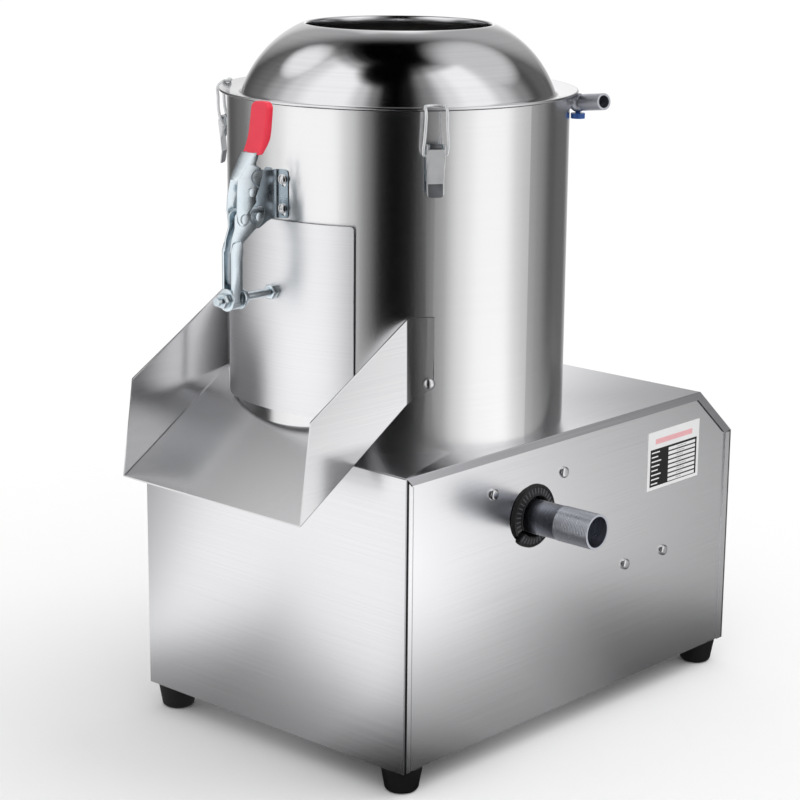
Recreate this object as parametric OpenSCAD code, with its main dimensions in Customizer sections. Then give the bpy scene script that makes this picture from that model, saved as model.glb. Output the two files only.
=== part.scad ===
// Electric potato peeler: an abrasive drum on a sheet steel cabinet, with a clamped discharge door.
// Millimetres, +Z up, front towards -Y. The frame's origin lies on the floor, midway across the whole machine.

/* [Cabinet] */
// Width of the cabinet across the side faces
cab_w = 348; // [330:1:400]
// Length of the cabinet from front to back
cab_l = 514; // [480:1:600]
// Height of the cabinet body without the feet
cab_h = 284; // [270:1:330]
// Distance from the cabinet's front face back to the barrel's axis
axis_back = 177; // [172:1:190]
// Length of the sloped back edge along the top
chamfer_l = 60; // [30:1:66]
// Height of the sloped back edge
chamfer_h = 52; // [20:1:80]
// Thickness of the cabinet and chute sheet
sheet_t = 1.5; // [1:0.1:2]
// Width of the wrap's lips and of the posts beside the side panels
lip_w = 8.5; // [6:0.5:12]
// Width of the open seam beside the posts and at the mitres
seam_w = 1.2; // [0.8:0.1:2]
// Length of a vent slot in the back wall
vent_l = 60; // [30:1:90]
// Number of vent slots in a column
vent_count = 6; // [3:1:8]

/* [Feet] */
// Height of a rubber foot
foot_h = 25; // [20:1:40]
// Radius of a foot at its top
foot_top_r = 20; // [17:0.5:22]
// Radius of a foot at the floor
foot_floor_r = 16.5; // [13:0.5:17]
// Inset of a foot's centre from the cabinet's faces
foot_inset = 20; // [18:0.5:40]

/* [Barrel] */
// Outer radius of the barrel
barrel_r = 165; // [160:1:168]
// Thickness of the barrel wall
barrel_wall = 1.5; // [1.2:0.1:2]
// Height of the barrel wall above the cabinet
barrel_h = 317; // [300:1:360]
// Thickness of the barrel floor
floor_t = 2; // [1.5:0.1:4]
// Thickness of the abrasive wall liner
liner_t = 3; // [2:0.1:4]
// Height left bare between the liner and the clamp's upper screws
liner_bare = 7; // [2:0.5:12]

/* [Lid] */
// Overhang of the lid's brim beyond the barrel wall
brim_over = 8; // [6:0.5:11]
// Rise of the brim from the dome's foot to its edge
brim_rise = 6; // [4:0.5:8]
// Distance of the dome's foot inside the barrel wall
dome_in = 13; // [10:0.5:19]
// Height of the dome above its foot
dome_h = 68; // [55:1:80]
// Radius of the dome's curve in section
dome_curve = 109; // [100:1:130]
// Radius of the round feed hole
feed_r = 89; // [75:1:95]
// Depth of the lip turned down inside the feed hole
feed_lip = 9; // [5:0.5:16]
// Thickness of the lid sheet
lid_t = 1.2; // [1:0.1:2]

/* [Door] */
// Width of the door, measured straight across
door_w = 163; // [150:1:166]
// Height of the door
door_h = 180; // [168:1:190]
// Height of the door's lower edge above the cabinet
door_lift = 31; // [26:1:34]
// Radius of the door's corners
door_corner = 9; // [4:0.5:14]
// Thickness of the door sheet
door_t = 2; // [1.5:0.1:3]
// Thickness of the rubber seal behind the door
seal_t = 2.2; // [1.5:0.1:3]
// Margin by which the door covers the opening
door_margin = 8; // [6:0.5:12]

/* [Chute] */
// Width of the chute between its wings' outer faces
chute_w = 238; // [220:1:250]
// Reach of the chute's front edge from the barrel's axis
chute_reach = 255; // [235:1:280]
// Height of the chute floor's front edge below the cabinet top
chute_drop = 40; // [32:1:46]
// Height of the chute floor's back corners above the cabinet top
chute_rise = 47; // [40:1:52]
// Height of the wings at the barrel
wing_back_h = 82; // [60:1:95]
// Height of the wings at the front
wing_front_h = 94; // [70:1:105]
// Width of the flanges that lie on the barrel
flange_w = 26; // [20:1:32]
// Height of a chute screw below the top of its flange
chute_screw_drop = 62; // [50:1:70]

/* [Clamp] */
// Distance of the arm's pivot from the barrel wall
pivot_out = 29; // [27:0.5:34]
// Height of the arm's pivot above the door
pivot_up = 7; // [5:0.5:12]
// Distance from the arm's pivot to the lever's pivot
crank_l = 19.5; // [18:0.5:22]
// Length of the lever between its two pivots
lever_l = 14; // [13:0.5:15]
// Distance of the arm's rails from the barrel wall
rail_out = 57; // [54:0.5:62]
// Depth of the rails, front to back
rail_d = 13; // [10:0.5:15]
// Height of the spindle above the door's lower edge
spindle_up = 114; // [90:1:125]
// Diameter of the spindle thread
spindle_d = 8; // [6:0.5:10]
// Thickness of the clamp's plates
plate_t = 1.8; // [1.5:0.1:2]
// Length of the red grip
grip_l = 50; // [40:1:60]
// Width of the red grip
grip_w = 20; // [17:0.5:26]
// Thickness of the red grip
grip_t = 8.5; // [7:0.5:11]
// Width of the clamp's base flanges over both sides
base_w = 31; // [28:1:40]
// Height of the clamp's base flanges
base_h = 45; // [40:1:50]

/* [Latches] */
// Angle of the right latch from the front, towards the drain
latch_angle = 53.4; // [50:0.1:62]
// Angle of the left latch from the front, towards the drain
latch_left_angle = 300; // [292:0.1:304]
// Width of a latch lever
latch_w = 17; // [14:0.5:20]
// Length of a latch lever below its pivot
latch_l = 33; // [28:0.5:38]
// Depth of a latch pivot below the barrel's top edge
latch_drop = 31; // [28:0.5:34]
// Diameter of the latch wire
wire_d = 2.5; // [2:0.1:3]

/* [Drain] */
// Outer diameter of the drain pipe
drain_d = 30; // [26:1:34]
// Wall of the drain pipe
drain_wall = 2; // [1.5:0.1:3]
// Length of the drain pipe's threaded end
drain_thread = 40; // [20:1:55]
// Reach of the drain pipe out of the cabinet
drain_out = 81; // [60:1:110]
// Depth of the drain pipe's axis below the cabinet top
drain_drop = 72; // [68:1:80]
// Distance of the drain's down leg from the barrel's axis
drain_leg = 105; // [95:1:110]
// Outer diameter of the rubber ring round the drain pipe
ring_d = 65; // [58:1:70]
// Diameter of the hole in the side panel
panel_hole_d = 56; // [50:1:58]

/* [Water inlet] */
// Angle of the inlet round the barrel from the front
inlet_angle = 130.6; // [122:0.1:140]
// Angle in plan that the nozzle points to
nozzle_angle = 76; // [70:1:90]
// Outer diameter of the nozzle
nozzle_d = 16; // [12:0.5:18]
// Bore of the nozzle
nozzle_bore = 12; // [8:0.5:13]
// Length of the nozzle beyond the elbow
nozzle_l = 30; // [20:1:40]
// Rise of the nozzle above level
nozzle_rise = 7; // [0:1:12]
// Depth of the inlet's axis below the barrel's top edge
inlet_drop = 9; // [8.5:0.5:14]

/* [Turntable] */
// Gap between the turntable and the liner
table_gap = 4; // [3:0.5:8]
// Thickness of the turntable casting
table_t = 12; // [9:0.5:14]
// Thickness of the grit plate
grit_t = 4; // [3:0.5:5]
// Height of the waves on the grit plate
wave_h = 8; // [5:0.5:10]
// Number of waves and of wiper blades
wave_count = 3; // [2:1:4]
// Height of the wiper blades under the turntable
wiper_h = 9; // [7:0.5:12]
// Clearance of the wiper blades over the barrel floor
wiper_gap = 2; // [1:0.5:3]

/* [Drive] */
// Diameter of the drive shaft
shaft_d = 20; // [16:1:25]
// Outer radius of the driven pulley
driven_r = 100; // [80:1:110]
// Outer radius of the motor pulley
motor_pulley_r = 35; // [30:1:45]
// Distance from the drive shaft to the motor shaft
belt_centres = 190; // [185:1:205]
// Height of the belt's middle plane above the cabinet's underside
belt_up = 93; // [70:1:98]
// Radius of the motor body
motor_r = 68; // [55:1:72]
// Headroom between the motor and the cabinet's top sheet
motor_gap = 14; // [8:1:40]
// Height of the motor bars' screws above the cabinet's underside
motor_screw_up = 125; // [115:1:130]
// Spacing of the motor bars
motor_bar_gap = 65; // [50:1:80]
// Spacing of the support beam's bars
beam_gap = 106; // [90:1:120]
// Depth of the support beam's screws below the cabinet top
beam_drop = 41; // [36:1:46]

/* [Switch and plate] */
// Width of the switch plate
switch_w = 56; // [50:1:70]
// Height of the switch plate
switch_h = 96; // [88:1:110]
// Distance of the switch plate's middle behind the cabinet's front
switch_back = 90; // [60:1:120]
// Travel of the push buttons
button_travel = 4; // [2:0.5:5]
// Length of the data plate
label_l = 89; // [60:1:100]
// Height of the data plate
label_h = 61; // [40:1:70]
// Distance of the data plate behind the barrel's axis
label_back = 190; // [180:1:200]
// Bore of the cord gland
gland_bore = 9; // [6:0.5:10]

/* [Hidden] */
$fn = 96;

// Clearances and colours
eps = 0.01;
face_gap = 0.3;
pin_gap = 0.05;
slide_gap = 0.2;
curve_gap = 0.15;
steel = "silver";
dark_steel = "dimgray";
zinc = "lightsteelblue";
black_rubber = "#202020";

// Levels and reaches
top_z = foot_h + cab_h;
front_y = -axis_back;
back_y = cab_l - axis_back;
side_x = cab_w / 2;
panel_x = side_x - sheet_t;
inner_x = panel_x - sheet_t;
barrel_top = top_z + barrel_h;
button_out = 14;
gland_out = 16;
axis_x = (button_out - drain_out) / 2;
axis_y = (chute_reach - back_y - gland_out) / 2;

module seat() translate([axis_x, axis_y, 0]) children();

// Plan shapes with round corners or ends, from true circles
module round_rect(w, h, r) {
    square([w - 2 * r, h], center = true);
    square([w, h - 2 * r], center = true);
    for (sx = [-1, 1], sy = [-1, 1]) translate([sx * (w / 2 - r), sy * (h / 2 - r)]) circle(r);
}
module slot2d(l, r) {
    square([l - 2 * r, 2 * r], center = true);
    for (s = [-1, 1]) translate([s * (l / 2 - r), 0]) circle(r);
}
function span(a, b) = norm(b - a);
function heading(a, b) = atan2(b[1] - a[1], b[0] - a[0]);
// Outline that wraps two circles, with straight sides that lie a little inside their tangents
waist = 0.985;
module wrap2d(a, ra, b, rb) {
    d = span(a, b);
    lean = asin((ra - rb) / d);
    translate(a) circle(ra);
    translate(b) circle(rb);
    translate(a) rotate(heading(a, b)) polygon([
        [ra * sin(lean), waist * ra * cos(lean)], [d + rb * sin(lean), waist * rb * cos(lean)],
        [d + rb * sin(lean), -waist * rb * cos(lean)], [ra * sin(lean), -waist * ra * cos(lean)]]);
}
// Extrudes an outline drawn in (y, z) along X, from x0 to x1
module across(x0, x1) translate([x0, 0, 0]) rotate([90, 0, 90]) linear_extrude(x1 - x0) children();
// The same outline on both sides of the middle plane
module both_sides(x0, x1) {
    across(x0, x1) children();
    across(-x1, -x0) children();
}
// Extrudes an outline drawn in (x, z) along Y, from y0 to y1
module along(y0, y1) translate([0, y1, 0]) rotate([90, 0, 0]) linear_extrude(y1 - y0) children();
// Puts children on the barrel wall at an angle from the front, their outside towards -Y
module on_wall(angle) rotate([0, 0, angle]) children();
module tube(r, wall, h) difference() {
    cylinder(r = r, h = h);
    translate([0, 0, -eps]) cylinder(r = r - wall, h = h + 2 * eps);
}
module hex(across_flats, h) cylinder(d = across_flats / cos(30), h = h, $fn = 6);
// A fastener along -Z: round head above the face, shank below it
module screw(head_r, head_h, shank_r, shank_l) {
    cylinder(r = head_r, h = head_h * 0.4);
    translate([0, 0, head_h * 0.4]) intersection() {
        translate([0, 0, head_h * 0.6 - head_r * 1.1]) sphere(r = head_r * 1.1, $fn = 48);
        cylinder(r = head_r, h = head_h);
    }
    translate([0, 0, -shank_l]) cylinder(r = shank_r, h = shank_l + eps);
}

// ---- Cabinet ----
// Side outline of the cabinet, drawn in (y, z), moved inwards by an inset
slope = atan2(chamfer_h, chamfer_l);
chamfer_z = top_z - chamfer_h;
function outline(inset) = [
    [front_y + inset, foot_h], [front_y + inset, top_z - inset],
    [back_y - chamfer_l - inset * tan(slope / 2), top_z - inset],
    [back_y - inset, chamfer_z - inset * tan((90 - slope) / 2)], [back_y - inset, foot_h]];
drain_r = drain_d / 2 - 0.4;
drain_hole_r = drain_r + 3;
shaft_hole_r = 30;
hole_run = 1;
mitre_gap = seam_w * 0.7;
vent_pitch = 14;
vent_r = 2.5;
vent_z = foot_h + cab_h * 0.39;
vent_x = 45;
gland_up = 45;
gland_z = foot_h + gland_up;
gland_x = -95;
gland_r = 9;

module wrap_shell() color(steel) seat() difference() {
    union() {
        across(-side_x, side_x) difference() {
            polygon(outline(0));
            polygon(outline(sheet_t));
        }
        both_sides(panel_x, side_x) intersection() {
            difference() {
                polygon(outline(0));
                polygon(outline(lip_w));
            }
            polygon([[front_y + mitre_gap, top_z], [front_y + mitre_gap + cab_h, top_z - cab_h],
                [front_y + mitre_gap + cab_h, chamfer_z], [back_y, chamfer_z], [back_y, top_z]]);
        }
    }
    translate([0, 0, top_z - sheet_t - hole_run]) cylinder(r = shaft_hole_r, h = sheet_t + 2 * hole_run);
    translate([drain_leg, 0, top_z - sheet_t - hole_run]) cylinder(r = drain_hole_r, h = sheet_t + 2 * hole_run);
    for (sx = [-1, 1], i = [0 : vent_count - 1]) translate([sx * vent_x, 0, vent_z + i * vent_pitch])
        along(back_y - sheet_t - hole_run, back_y + hole_run) slot2d(vent_l, vent_r);
    translate([gland_x, 0, gland_z]) along(back_y - sheet_t - hole_run, back_y + hole_run)
        circle(gland_r + pin_gap);
}

beam_z = top_z - beam_drop;
motor_z = foot_h + motor_screw_up;
side_screw_places = [[-beam_gap / 2, beam_z], [beam_gap / 2, beam_z],
    [belt_centres - motor_bar_gap / 2, motor_z], [belt_centres + motor_bar_gap / 2, motor_z]];
side_shank_r = 2.5;
drain_z = top_z - drain_drop;
switch_y = front_y + switch_back;
switch_z = foot_h + cab_h * 0.62;
block_w = switch_w - 16;
block_h = switch_h - 14;
post_leg = sheet_t + seam_w + face_gap;
pan_h = 22;

// A side panel lies behind the lips and between the posts' inner legs
module panel_blank() intersection() {
    polygon(outline(post_leg + face_gap));
    translate([front_y, foot_h]) square([cab_l, cab_h]);
}
module side_screw_holes() for (p = side_screw_places) translate(p) circle(side_shank_r + pin_gap);
module side_panel_right() color(steel) seat() across(inner_x, panel_x) difference() {
    panel_blank();
    translate([0, drain_z]) circle(d = panel_hole_d);
    side_screw_holes();
}
module side_panel_left() color(steel) seat() across(-panel_x, -inner_x) difference() {
    panel_blank();
    side_screw_holes();
    translate([switch_y, switch_z]) square([block_w + 2 * face_gap, block_h + 2 * face_gap], center = true);
}

// A corner post is an angle: one leg shows beside the side panel, the other lies behind the end wall
post_depth = 24;
post_a = sheet_t + seam_w;
post_b = lip_w + seam_w;
module post_face(high_a, high_b) across(panel_x, side_x)
    polygon([[post_a, foot_h], [post_a, high_a], [post_b, high_b], [post_b, foot_h]]);
module post_back(high) translate([panel_x - post_depth, sheet_t, foot_h])
    cube([post_depth + sheet_t / 3, post_leg - sheet_t, high - foot_h]);
module corner_posts() color(steel) seat() for (side = [0, 1]) mirror([side, 0, 0]) {
    translate([0, front_y, 0]) {
        post_face(top_z - post_a - mitre_gap, top_z - post_b - mitre_gap);
        post_back(top_z - lip_w);
    }
    translate([0, back_y, 0]) mirror([0, 1, 0]) {
        post_face(chamfer_z - seam_w, chamfer_z - seam_w);
        post_back(chamfer_z - lip_w);
    }
}

// Tray that closes the cabinet's underside and carries the feet
pan_edge = post_leg + face_gap;
module base_pan() color(steel) seat() difference() {
    translate([-inner_x + face_gap, front_y + pan_edge, foot_h])
        cube([2 * (inner_x - face_gap), cab_l - 2 * pan_edge, pan_h]);
    translate([-inner_x + face_gap + sheet_t, front_y + pan_edge + sheet_t, foot_h + sheet_t])
        cube([2 * (inner_x - face_gap - sheet_t), cab_l - 2 * (pan_edge + sheet_t), pan_h]);
    for (sx = [-1, 1]) {
        for (py = foot_ys) translate([sx * foot_x, py, foot_h - hole_run])
            cylinder(r = foot_bolt_r + pin_gap, h = sheet_t + 2 * hole_run);
        for (i = [0 : vent_count - 1]) translate([sx * vent_x, belt_centres + (i - vent_count / 2) * vent_pitch,
            foot_h - hole_run]) linear_extrude(sheet_t + 2 * hole_run) slot2d(vent_l, vent_r);
    }
}

foot_x = side_x - foot_inset;
foot_ys = [front_y + foot_inset, back_y - foot_inset];
foot_bolt_r = 4;
foot_round = 5;
foot_bolt_head_r = 7;
foot_bolt_up = 7;
// Tapered rubber foot with a rounded lower edge and its bolt up through the pan
module foot() rotate_extrude() {
    polygon([[0, 0], [foot_floor_r - foot_round, 0], [foot_floor_r, foot_round], [foot_top_r, foot_h], [0, foot_h]]);
    translate([foot_floor_r - foot_round, foot_round]) intersection() {
        circle(foot_round);
        translate([0, -foot_round]) square([foot_round, foot_round]);
    }
    square([foot_bolt_r, foot_h + foot_bolt_up]);
    translate([0, foot_h + sheet_t]) square([foot_bolt_head_r, foot_bolt_up - sheet_t - hole_run]);
}
module feet() color(black_rubber) seat() for (sx = [-1, 1], py = foot_ys) translate([sx * foot_x, py, 0]) foot();

side_head_r = 5;
side_head_h = 3;
side_shank_l = 9;
nut_t = 3;
module side_screws() color(zinc) seat() for (side = [0, 1], p = side_screw_places) mirror([side, 0, 0])
    translate([panel_x, p[0], p[1]]) rotate([0, 90, 0]) {
        screw(side_head_r, side_head_h, side_shank_r, side_shank_l);
        translate([0, 0, -sheet_t - tab_t - nut_t]) hex(side_head_r * 2, nut_t);
    }

label_t = 0.6;
label_z = foot_h + cab_h * 0.79;
module data_plate() color("white") seat() translate([panel_x, label_back, label_z - label_h / 2])
    cube([label_t, label_l, label_h]);

// ---- Barrel and lid ----
wall_in = barrel_r - barrel_wall;
liner_out = wall_in - face_gap / 2;
liner_in = liner_out - liner_t;
floor_top = top_z + floor_t;
table_z = floor_top + wiper_h + wiper_gap;
liner_z = table_z;
door_z = top_z + door_lift;
door_top = door_z + door_h;
opening_w = door_w - 2 * door_margin;
opening_h = door_h - 2 * door_margin;
opening_mid = door_z + door_h / 2;
chute_screw_z = top_z + chute_rise + wing_back_h - chute_screw_drop;
barrel_screw_r = 3;
screw_head_r = 5.8;
screw_head_h = 3.4;
base_z = door_top + 3;
clamp_screw_in = 9;
clamp_screw_zs = [base_z + clamp_screw_in, base_z + base_h - clamp_screw_in];
liner_h = clamp_screw_zs[1] - screw_head_r - liner_bare - liner_z;
inlet_z = barrel_top - inlet_drop;
spud_r = 6;
latch_angles = [latch_angle, (latch_angle + latch_left_angle) / 2, latch_left_angle];

module opening_prism(grow) translate([0, 0, opening_mid])
    along(-barrel_r - door_margin, -barrel_r / 2) round_rect(opening_w + 2 * grow, opening_h + 2 * grow, door_corner);
// Radial holes through the wall, given by angle from the front, height and radius
module wall_hole(angle, z, r) on_wall(angle) translate([0, -liner_in + hole_run, z]) rotate([90, 0, 0])
    cylinder(r = r, h = barrel_r - liner_in + 2 * hole_run, $fn = 48);
module wall_holes() {
    for (s = [-1, 1]) wall_hole(s * chute_screw_angle, chute_screw_z, barrel_screw_r + pin_gap);
    for (s = [-1, 1], z = clamp_screw_zs) wall_hole(s * clamp_screw_angle, z, barrel_screw_r + pin_gap);
    for (a = latch_angles, z = latch_rivet_zs) wall_hole(a, z, rivet_r + pin_gap);
    wall_hole(inlet_angle, inlet_z, spud_r + pin_gap);
}
module barrel_shell() color(steel) seat() difference() {
    translate([0, 0, top_z]) tube(barrel_r, barrel_wall, barrel_h);
    opening_prism(0);
    wall_holes();
}
module barrel_floor() color(steel) seat() translate([0, 0, top_z]) difference() {
    cylinder(r = wall_in - pin_gap, h = floor_t);
    translate([0, 0, -eps]) cylinder(r = seal_r + pin_gap, h = floor_t + 2 * eps);
    translate([drain_leg, 0, -eps]) cylinder(r = drain_r + pin_gap, h = floor_t + 2 * eps);
}
module abrasive_liner() color("gray") seat() difference() {
    translate([0, 0, liner_z]) tube(liner_out, liner_t, liner_h);
    opening_prism(1);
    wall_holes();
}

brim_r = barrel_r + brim_over;
dome_r = barrel_r - dome_in;
brim_slope = brim_rise / (brim_r - dome_r);
brim_edge_z = barrel_top + face_gap + lid_t + (brim_r - wall_in) * brim_slope;
dome_z = brim_edge_z - brim_rise;
feed_z = dome_z + dome_h;
function brim_top(r) = brim_edge_z - (brim_r - r) * brim_slope;
// The dome's curve: an arc of the given radius through its foot and the feed hole's edge
dome_chord = [feed_r - dome_r, dome_h];
dome_mid = [(feed_r + dome_r) / 2, dome_z + dome_h / 2];
dome_off = sqrt(pow(dome_curve, 2) - pow(norm(dome_chord) / 2, 2));
dome_centre = dome_mid - dome_off * [dome_chord[1], -dome_chord[0]] / norm(dome_chord);
module lid() color(dark_steel) seat() {
    // domed part, from the brim to the feed hole
    rotate_extrude($fn = 180) intersection() {
        translate(dome_centre) difference() {
            circle(dome_curve, $fn = 180);
            circle(dome_curve - lid_t, $fn = 180);
        }
        translate([feed_r, dome_z - lid_t]) square([dome_r - feed_r + lid_t, dome_h + lid_t]);
    }
    // lip turned down inside the feed hole, and the brim
    translate([0, 0, feed_z - feed_lip]) tube(feed_r + lid_t, lid_t, feed_lip - lid_t / 2);
    rotate_extrude($fn = 180) polygon([[dome_r - 2 * lid_t, brim_top(dome_r - 2 * lid_t)], [brim_r, brim_edge_z], [brim_r, brim_edge_z - lid_t],
        [dome_r - 2 * lid_t, brim_top(dome_r - 2 * lid_t) - lid_t]]);
}
gasket_h = 5;
gasket_w = 4;
gasket_out = wall_in - slide_gap;
module lid_gasket() color(black_rubber) seat() rotate_extrude($fn = 180) {
    under = brim_top(gasket_out - gasket_w) - lid_t - eps;
    polygon([[gasket_out - gasket_w, under], [gasket_out, under + gasket_w * brim_slope],
        [gasket_out, under - gasket_h], [gasket_out - gasket_w, under - gasket_h]]);
}

// Rubber collar in the barrel floor round the shaft
shaft_r = shaft_d / 2;
seal_r = shaft_r + 8;
seal_flange_r = seal_r + 6;
seal_h = 4;
module shaft_seal() color(black_rubber) seat() translate([0, 0, top_z]) difference() {
    union() {
        cylinder(r = seal_r, h = floor_t + seal_h);
        translate([0, 0, floor_t]) cylinder(r = seal_flange_r, h = seal_h - 1);
    }
    translate([0, 0, -eps]) cylinder(r = shaft_r + pin_gap, h = floor_t + seal_h + 2 * eps);
}

// ---- Drive ----
tab_t = 3;
bar_t = 3;
bar_h = 30;
bar_foot = 26;
plate_h = 6;
bolt_r = 4;
bolt_head_flats = 13;
bolt_head_h = 6;
belt_z = foot_h + belt_up;
beam_top = beam_z + bar_h / 2;
housing_r = 30;
housing_flange_r = 50;
housing_flange_h = 6;
housing_l = 83;
housing_bolt_r = 41;
bearing_r = 23.5;
bearing_h = 14;
bearing_land = 3;
housing_z = beam_top - housing_l;
bearing_zs = [housing_z + bearing_land, beam_top - bearing_land - bearing_h];
beam_plate_l = 140;
tab_w = 24;

// An angle bar along X between the side panels, with a screw tab at each end
module cross_bar(y, z_mid, high, out) {
    translate([-inner_x, y - bar_t / 2, z_mid - high / 2]) cube([2 * inner_x, bar_t, high]);
    translate([-inner_x + tab_t, min(y, y + out * bar_foot), z_mid + high / 2 - bar_t])
        cube([2 * (inner_x - tab_t), bar_foot, bar_t]);
    for (s = [-1, 1]) translate([s * (inner_x - tab_t / 2), y, z_mid]) cube([tab_t, tab_w, high], center = true);
}
module tab_hole(y, z) {
    translate([-inner_x - hole_run, y, z]) rotate([0, 90, 0]) cylinder(r = side_shank_r + pin_gap, h = 2 * side_cut);
    translate([inner_x + hole_run - 2 * side_cut, y, z]) rotate([0, 90, 0])
        cylinder(r = side_shank_r + pin_gap, h = 2 * side_cut);
    for (s = [-1, 1]) translate([s * (inner_x - tab_t - nut_t * 1.5), y, z])
        cube([nut_t * 3, side_head_r * 2.6, side_head_r * 2.6], center = true);
}
side_cut = 4;
module bolt_holes(places, z0, z1) for (p = places) translate([p[0], p[1], z0 - hole_run])
    cylinder(r = bolt_r + pin_gap, h = z1 - z0 + 2 * hole_run, $fn = 48);
housing_bolts = [for (a = [45 : 90 : 315]) housing_bolt_r * [cos(a), sin(a)]];
module support_beam() color(dark_steel) seat() difference() {
    union() {
        cross_bar(-beam_gap / 2, beam_z, bar_h, -1);
        cross_bar(beam_gap / 2, beam_z, bar_h, 1);
        translate([-beam_plate_l / 2, -beam_gap / 2 - bar_foot, beam_top])
            cube([beam_plate_l, beam_gap + 2 * bar_foot, plate_h]);
    }
    translate([0, 0, beam_top - hole_run]) cylinder(r = bearing_r, h = plate_h + 2 * hole_run);
    bolt_holes(housing_bolts, beam_top, beam_top + plate_h);
    for (s = [-1, 1]) tab_hole(s * beam_gap / 2, beam_z);
}
module bearing_housing() color(dark_steel) seat() difference() {
    union() {
        translate([0, 0, housing_z]) cylinder(r = housing_r, h = housing_l);
        translate([0, 0, beam_top - housing_flange_h]) cylinder(r = housing_flange_r, h = housing_flange_h);
    }
    translate([0, 0, housing_z - hole_run]) cylinder(r = bearing_r - bearing_land, h = housing_l + 2 * hole_run);
    for (z = [housing_z - hole_run, beam_top - bearing_land - bearing_h])
        translate([0, 0, z]) cylinder(r = bearing_r + pin_gap, h = bearing_land + bearing_h + hole_run);
    bolt_holes(housing_bolts, beam_top - housing_flange_h, beam_top);
}
module shaft_bearings() color(steel) seat() for (z = bearing_zs) translate([0, 0, z]) rotate_extrude() difference() {
    translate([shaft_r + pin_gap, 0]) square([bearing_r - shaft_r - pin_gap, bearing_h]);
    for (face = [0, bearing_h]) translate([(shaft_r + bearing_r) / 2, face])
        square([bearing_race, 2], center = true);
}
bearing_race = 5;

shaft_low = belt_z - 18;
grit_z = table_z + table_t;
cap_z = grit_z + grit_t;
stud_r = shaft_r * 0.7;
stud_l = 8;
shoulder_r = shaft_r + 4;
shoulder_h = 3;
hub_h = 6;
module drive_shaft() color(steel) seat() {
    translate([0, 0, shaft_low]) cylinder(r = shaft_r, h = cap_z - shaft_low);
    translate([0, 0, cap_z - eps]) cylinder(r = stud_r, h = stud_l);
    translate([0, 0, beam_top + face_gap]) cylinder(r = shoulder_r, h = shoulder_h);
}
table_r = liner_in - table_gap;
hub_r = 26;
wiper_t = 6;
module turntable() color("gray") seat() difference() {
    union() {
        translate([0, 0, table_z]) cylinder(r = table_r, h = table_t);
        translate([0, 0, table_z - hub_h + eps]) cylinder(r = hub_r, h = hub_h);
        for (i = [0 : wave_count - 1]) rotate([0, 0, i * 360 / wave_count])
            translate([hub_r / 2, -wiper_t / 2, table_z - wiper_h]) cube([table_r - hub_r, wiper_t, wiper_h + eps]);
    }
    translate([0, 0, table_z - wiper_h - hole_run]) {
        cylinder(r = seal_flange_r + 1, h = wiper_h - hub_h + hole_run);
        cylinder(r = shaft_r + pin_gap, h = wiper_h + table_t + 2 * hole_run);
    }
}
grit_r = table_r - 4;
cap_r = 21;
cap_h = 14;
wave_r = 34;
module grit_plate() color("gray") seat() difference() {
    translate([0, 0, grit_z]) {
        cylinder(r = grit_r, h = grit_t);
        intersection() {
            for (i = [0 : wave_count - 1]) rotate([0, 0, i * 360 / wave_count])
                translate([cap_r + 5, 0, grit_t + wave_h - wave_r]) rotate([0, 90, 0]) cylinder(r = wave_r, h = grit_r);
            translate([0, 0, grit_t - eps]) cylinder(r = grit_r - 2, h = wave_r);
        }
    }
    translate([0, 0, grit_z - hole_run]) cylinder(r = shaft_r + pin_gap, h = grit_t + wave_h + 2 * hole_run);
}
module disc_cap() color(steel) seat() translate([0, 0, cap_z]) difference() {
    union() {
        cylinder(r = cap_r, h = cap_h * 0.4);
        translate([0, 0, cap_h * 0.4 - eps]) intersection() {
            cylinder(r = cap_r, h = cap_h * 0.6);
            translate([0, 0, cap_h * 0.6 - cap_dome_r]) sphere(r = cap_dome_r);
        }
    }
    translate([0, 0, -hole_run]) cylinder(r = stud_r + pin_gap, h = stud_l + hole_run + face_gap);
}
cap_dome_r = 31;

belt_w = 10;
belt_deep = 8;
belt_proud = 1;
rim_w = 20;
rim_deep = 17;
web_t = 7;
pulley_hub_r = 24;
pulley_hub_l = 30;
motor_shaft_r = 9.5;
// A grooved pulley on its belt plane, with a hub for its shaft and round holes in the web
module pulley(r, bore, hub_r, holes) difference() {
    union() {
        translate([0, 0, -rim_w / 2]) cylinder(r = r, h = rim_w);
        translate([0, 0, -pulley_hub_l / 2]) cylinder(r = hub_r, h = pulley_hub_l);
    }
    rotate_extrude() {
        translate([r - belt_proud - belt_deep - face_gap, -belt_w / 2 - face_gap])
            square([belt_deep + 2 * belt_proud + face_gap, belt_w + 2 * face_gap]);
        if (holes > 0) for (s = [-1, 1]) translate([hub_r, s > 0 ? web_t / 2 : -rim_w / 2 - hole_run])
            square([r - rim_deep - hub_r, rim_w / 2 - web_t / 2 + hole_run]);
    }
    translate([0, 0, -pulley_hub_l]) cylinder(r = bore + pin_gap, h = 2 * pulley_hub_l);
    if (holes > 0) for (i = [0 : holes - 1]) rotate([0, 0, i * 360 / holes])
        translate([(hub_r + r - rim_deep) / 2, 0, -rim_w]) cylinder(r = web_hole_r, h = 2 * rim_w);
}
web_hole_r = 19;
web_holes = 5;
module driven_pulley() color(dark_steel) seat() translate([0, 0, belt_z])
    pulley(driven_r, shaft_r, pulley_hub_r, web_holes);
module motor_pulley() color(dark_steel) seat() translate([0, belt_centres, belt_z])
    pulley(motor_pulley_r, motor_shaft_r, pulley_hub_r * 0.8, 0);
module drive_belt() color(black_rubber) seat() translate([0, 0, belt_z]) for (half = [0, 1]) mirror([0, 0, half])
    linear_extrude(belt_w / 2) difference() {
        wrap2d([0, 0], driven_r - belt_proud, [0, belt_centres], motor_pulley_r - belt_proud);
        wrap2d([0, 0], driven_r - belt_proud - belt_deep, [0, belt_centres], motor_pulley_r - belt_proud - belt_deep);
    }

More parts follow.
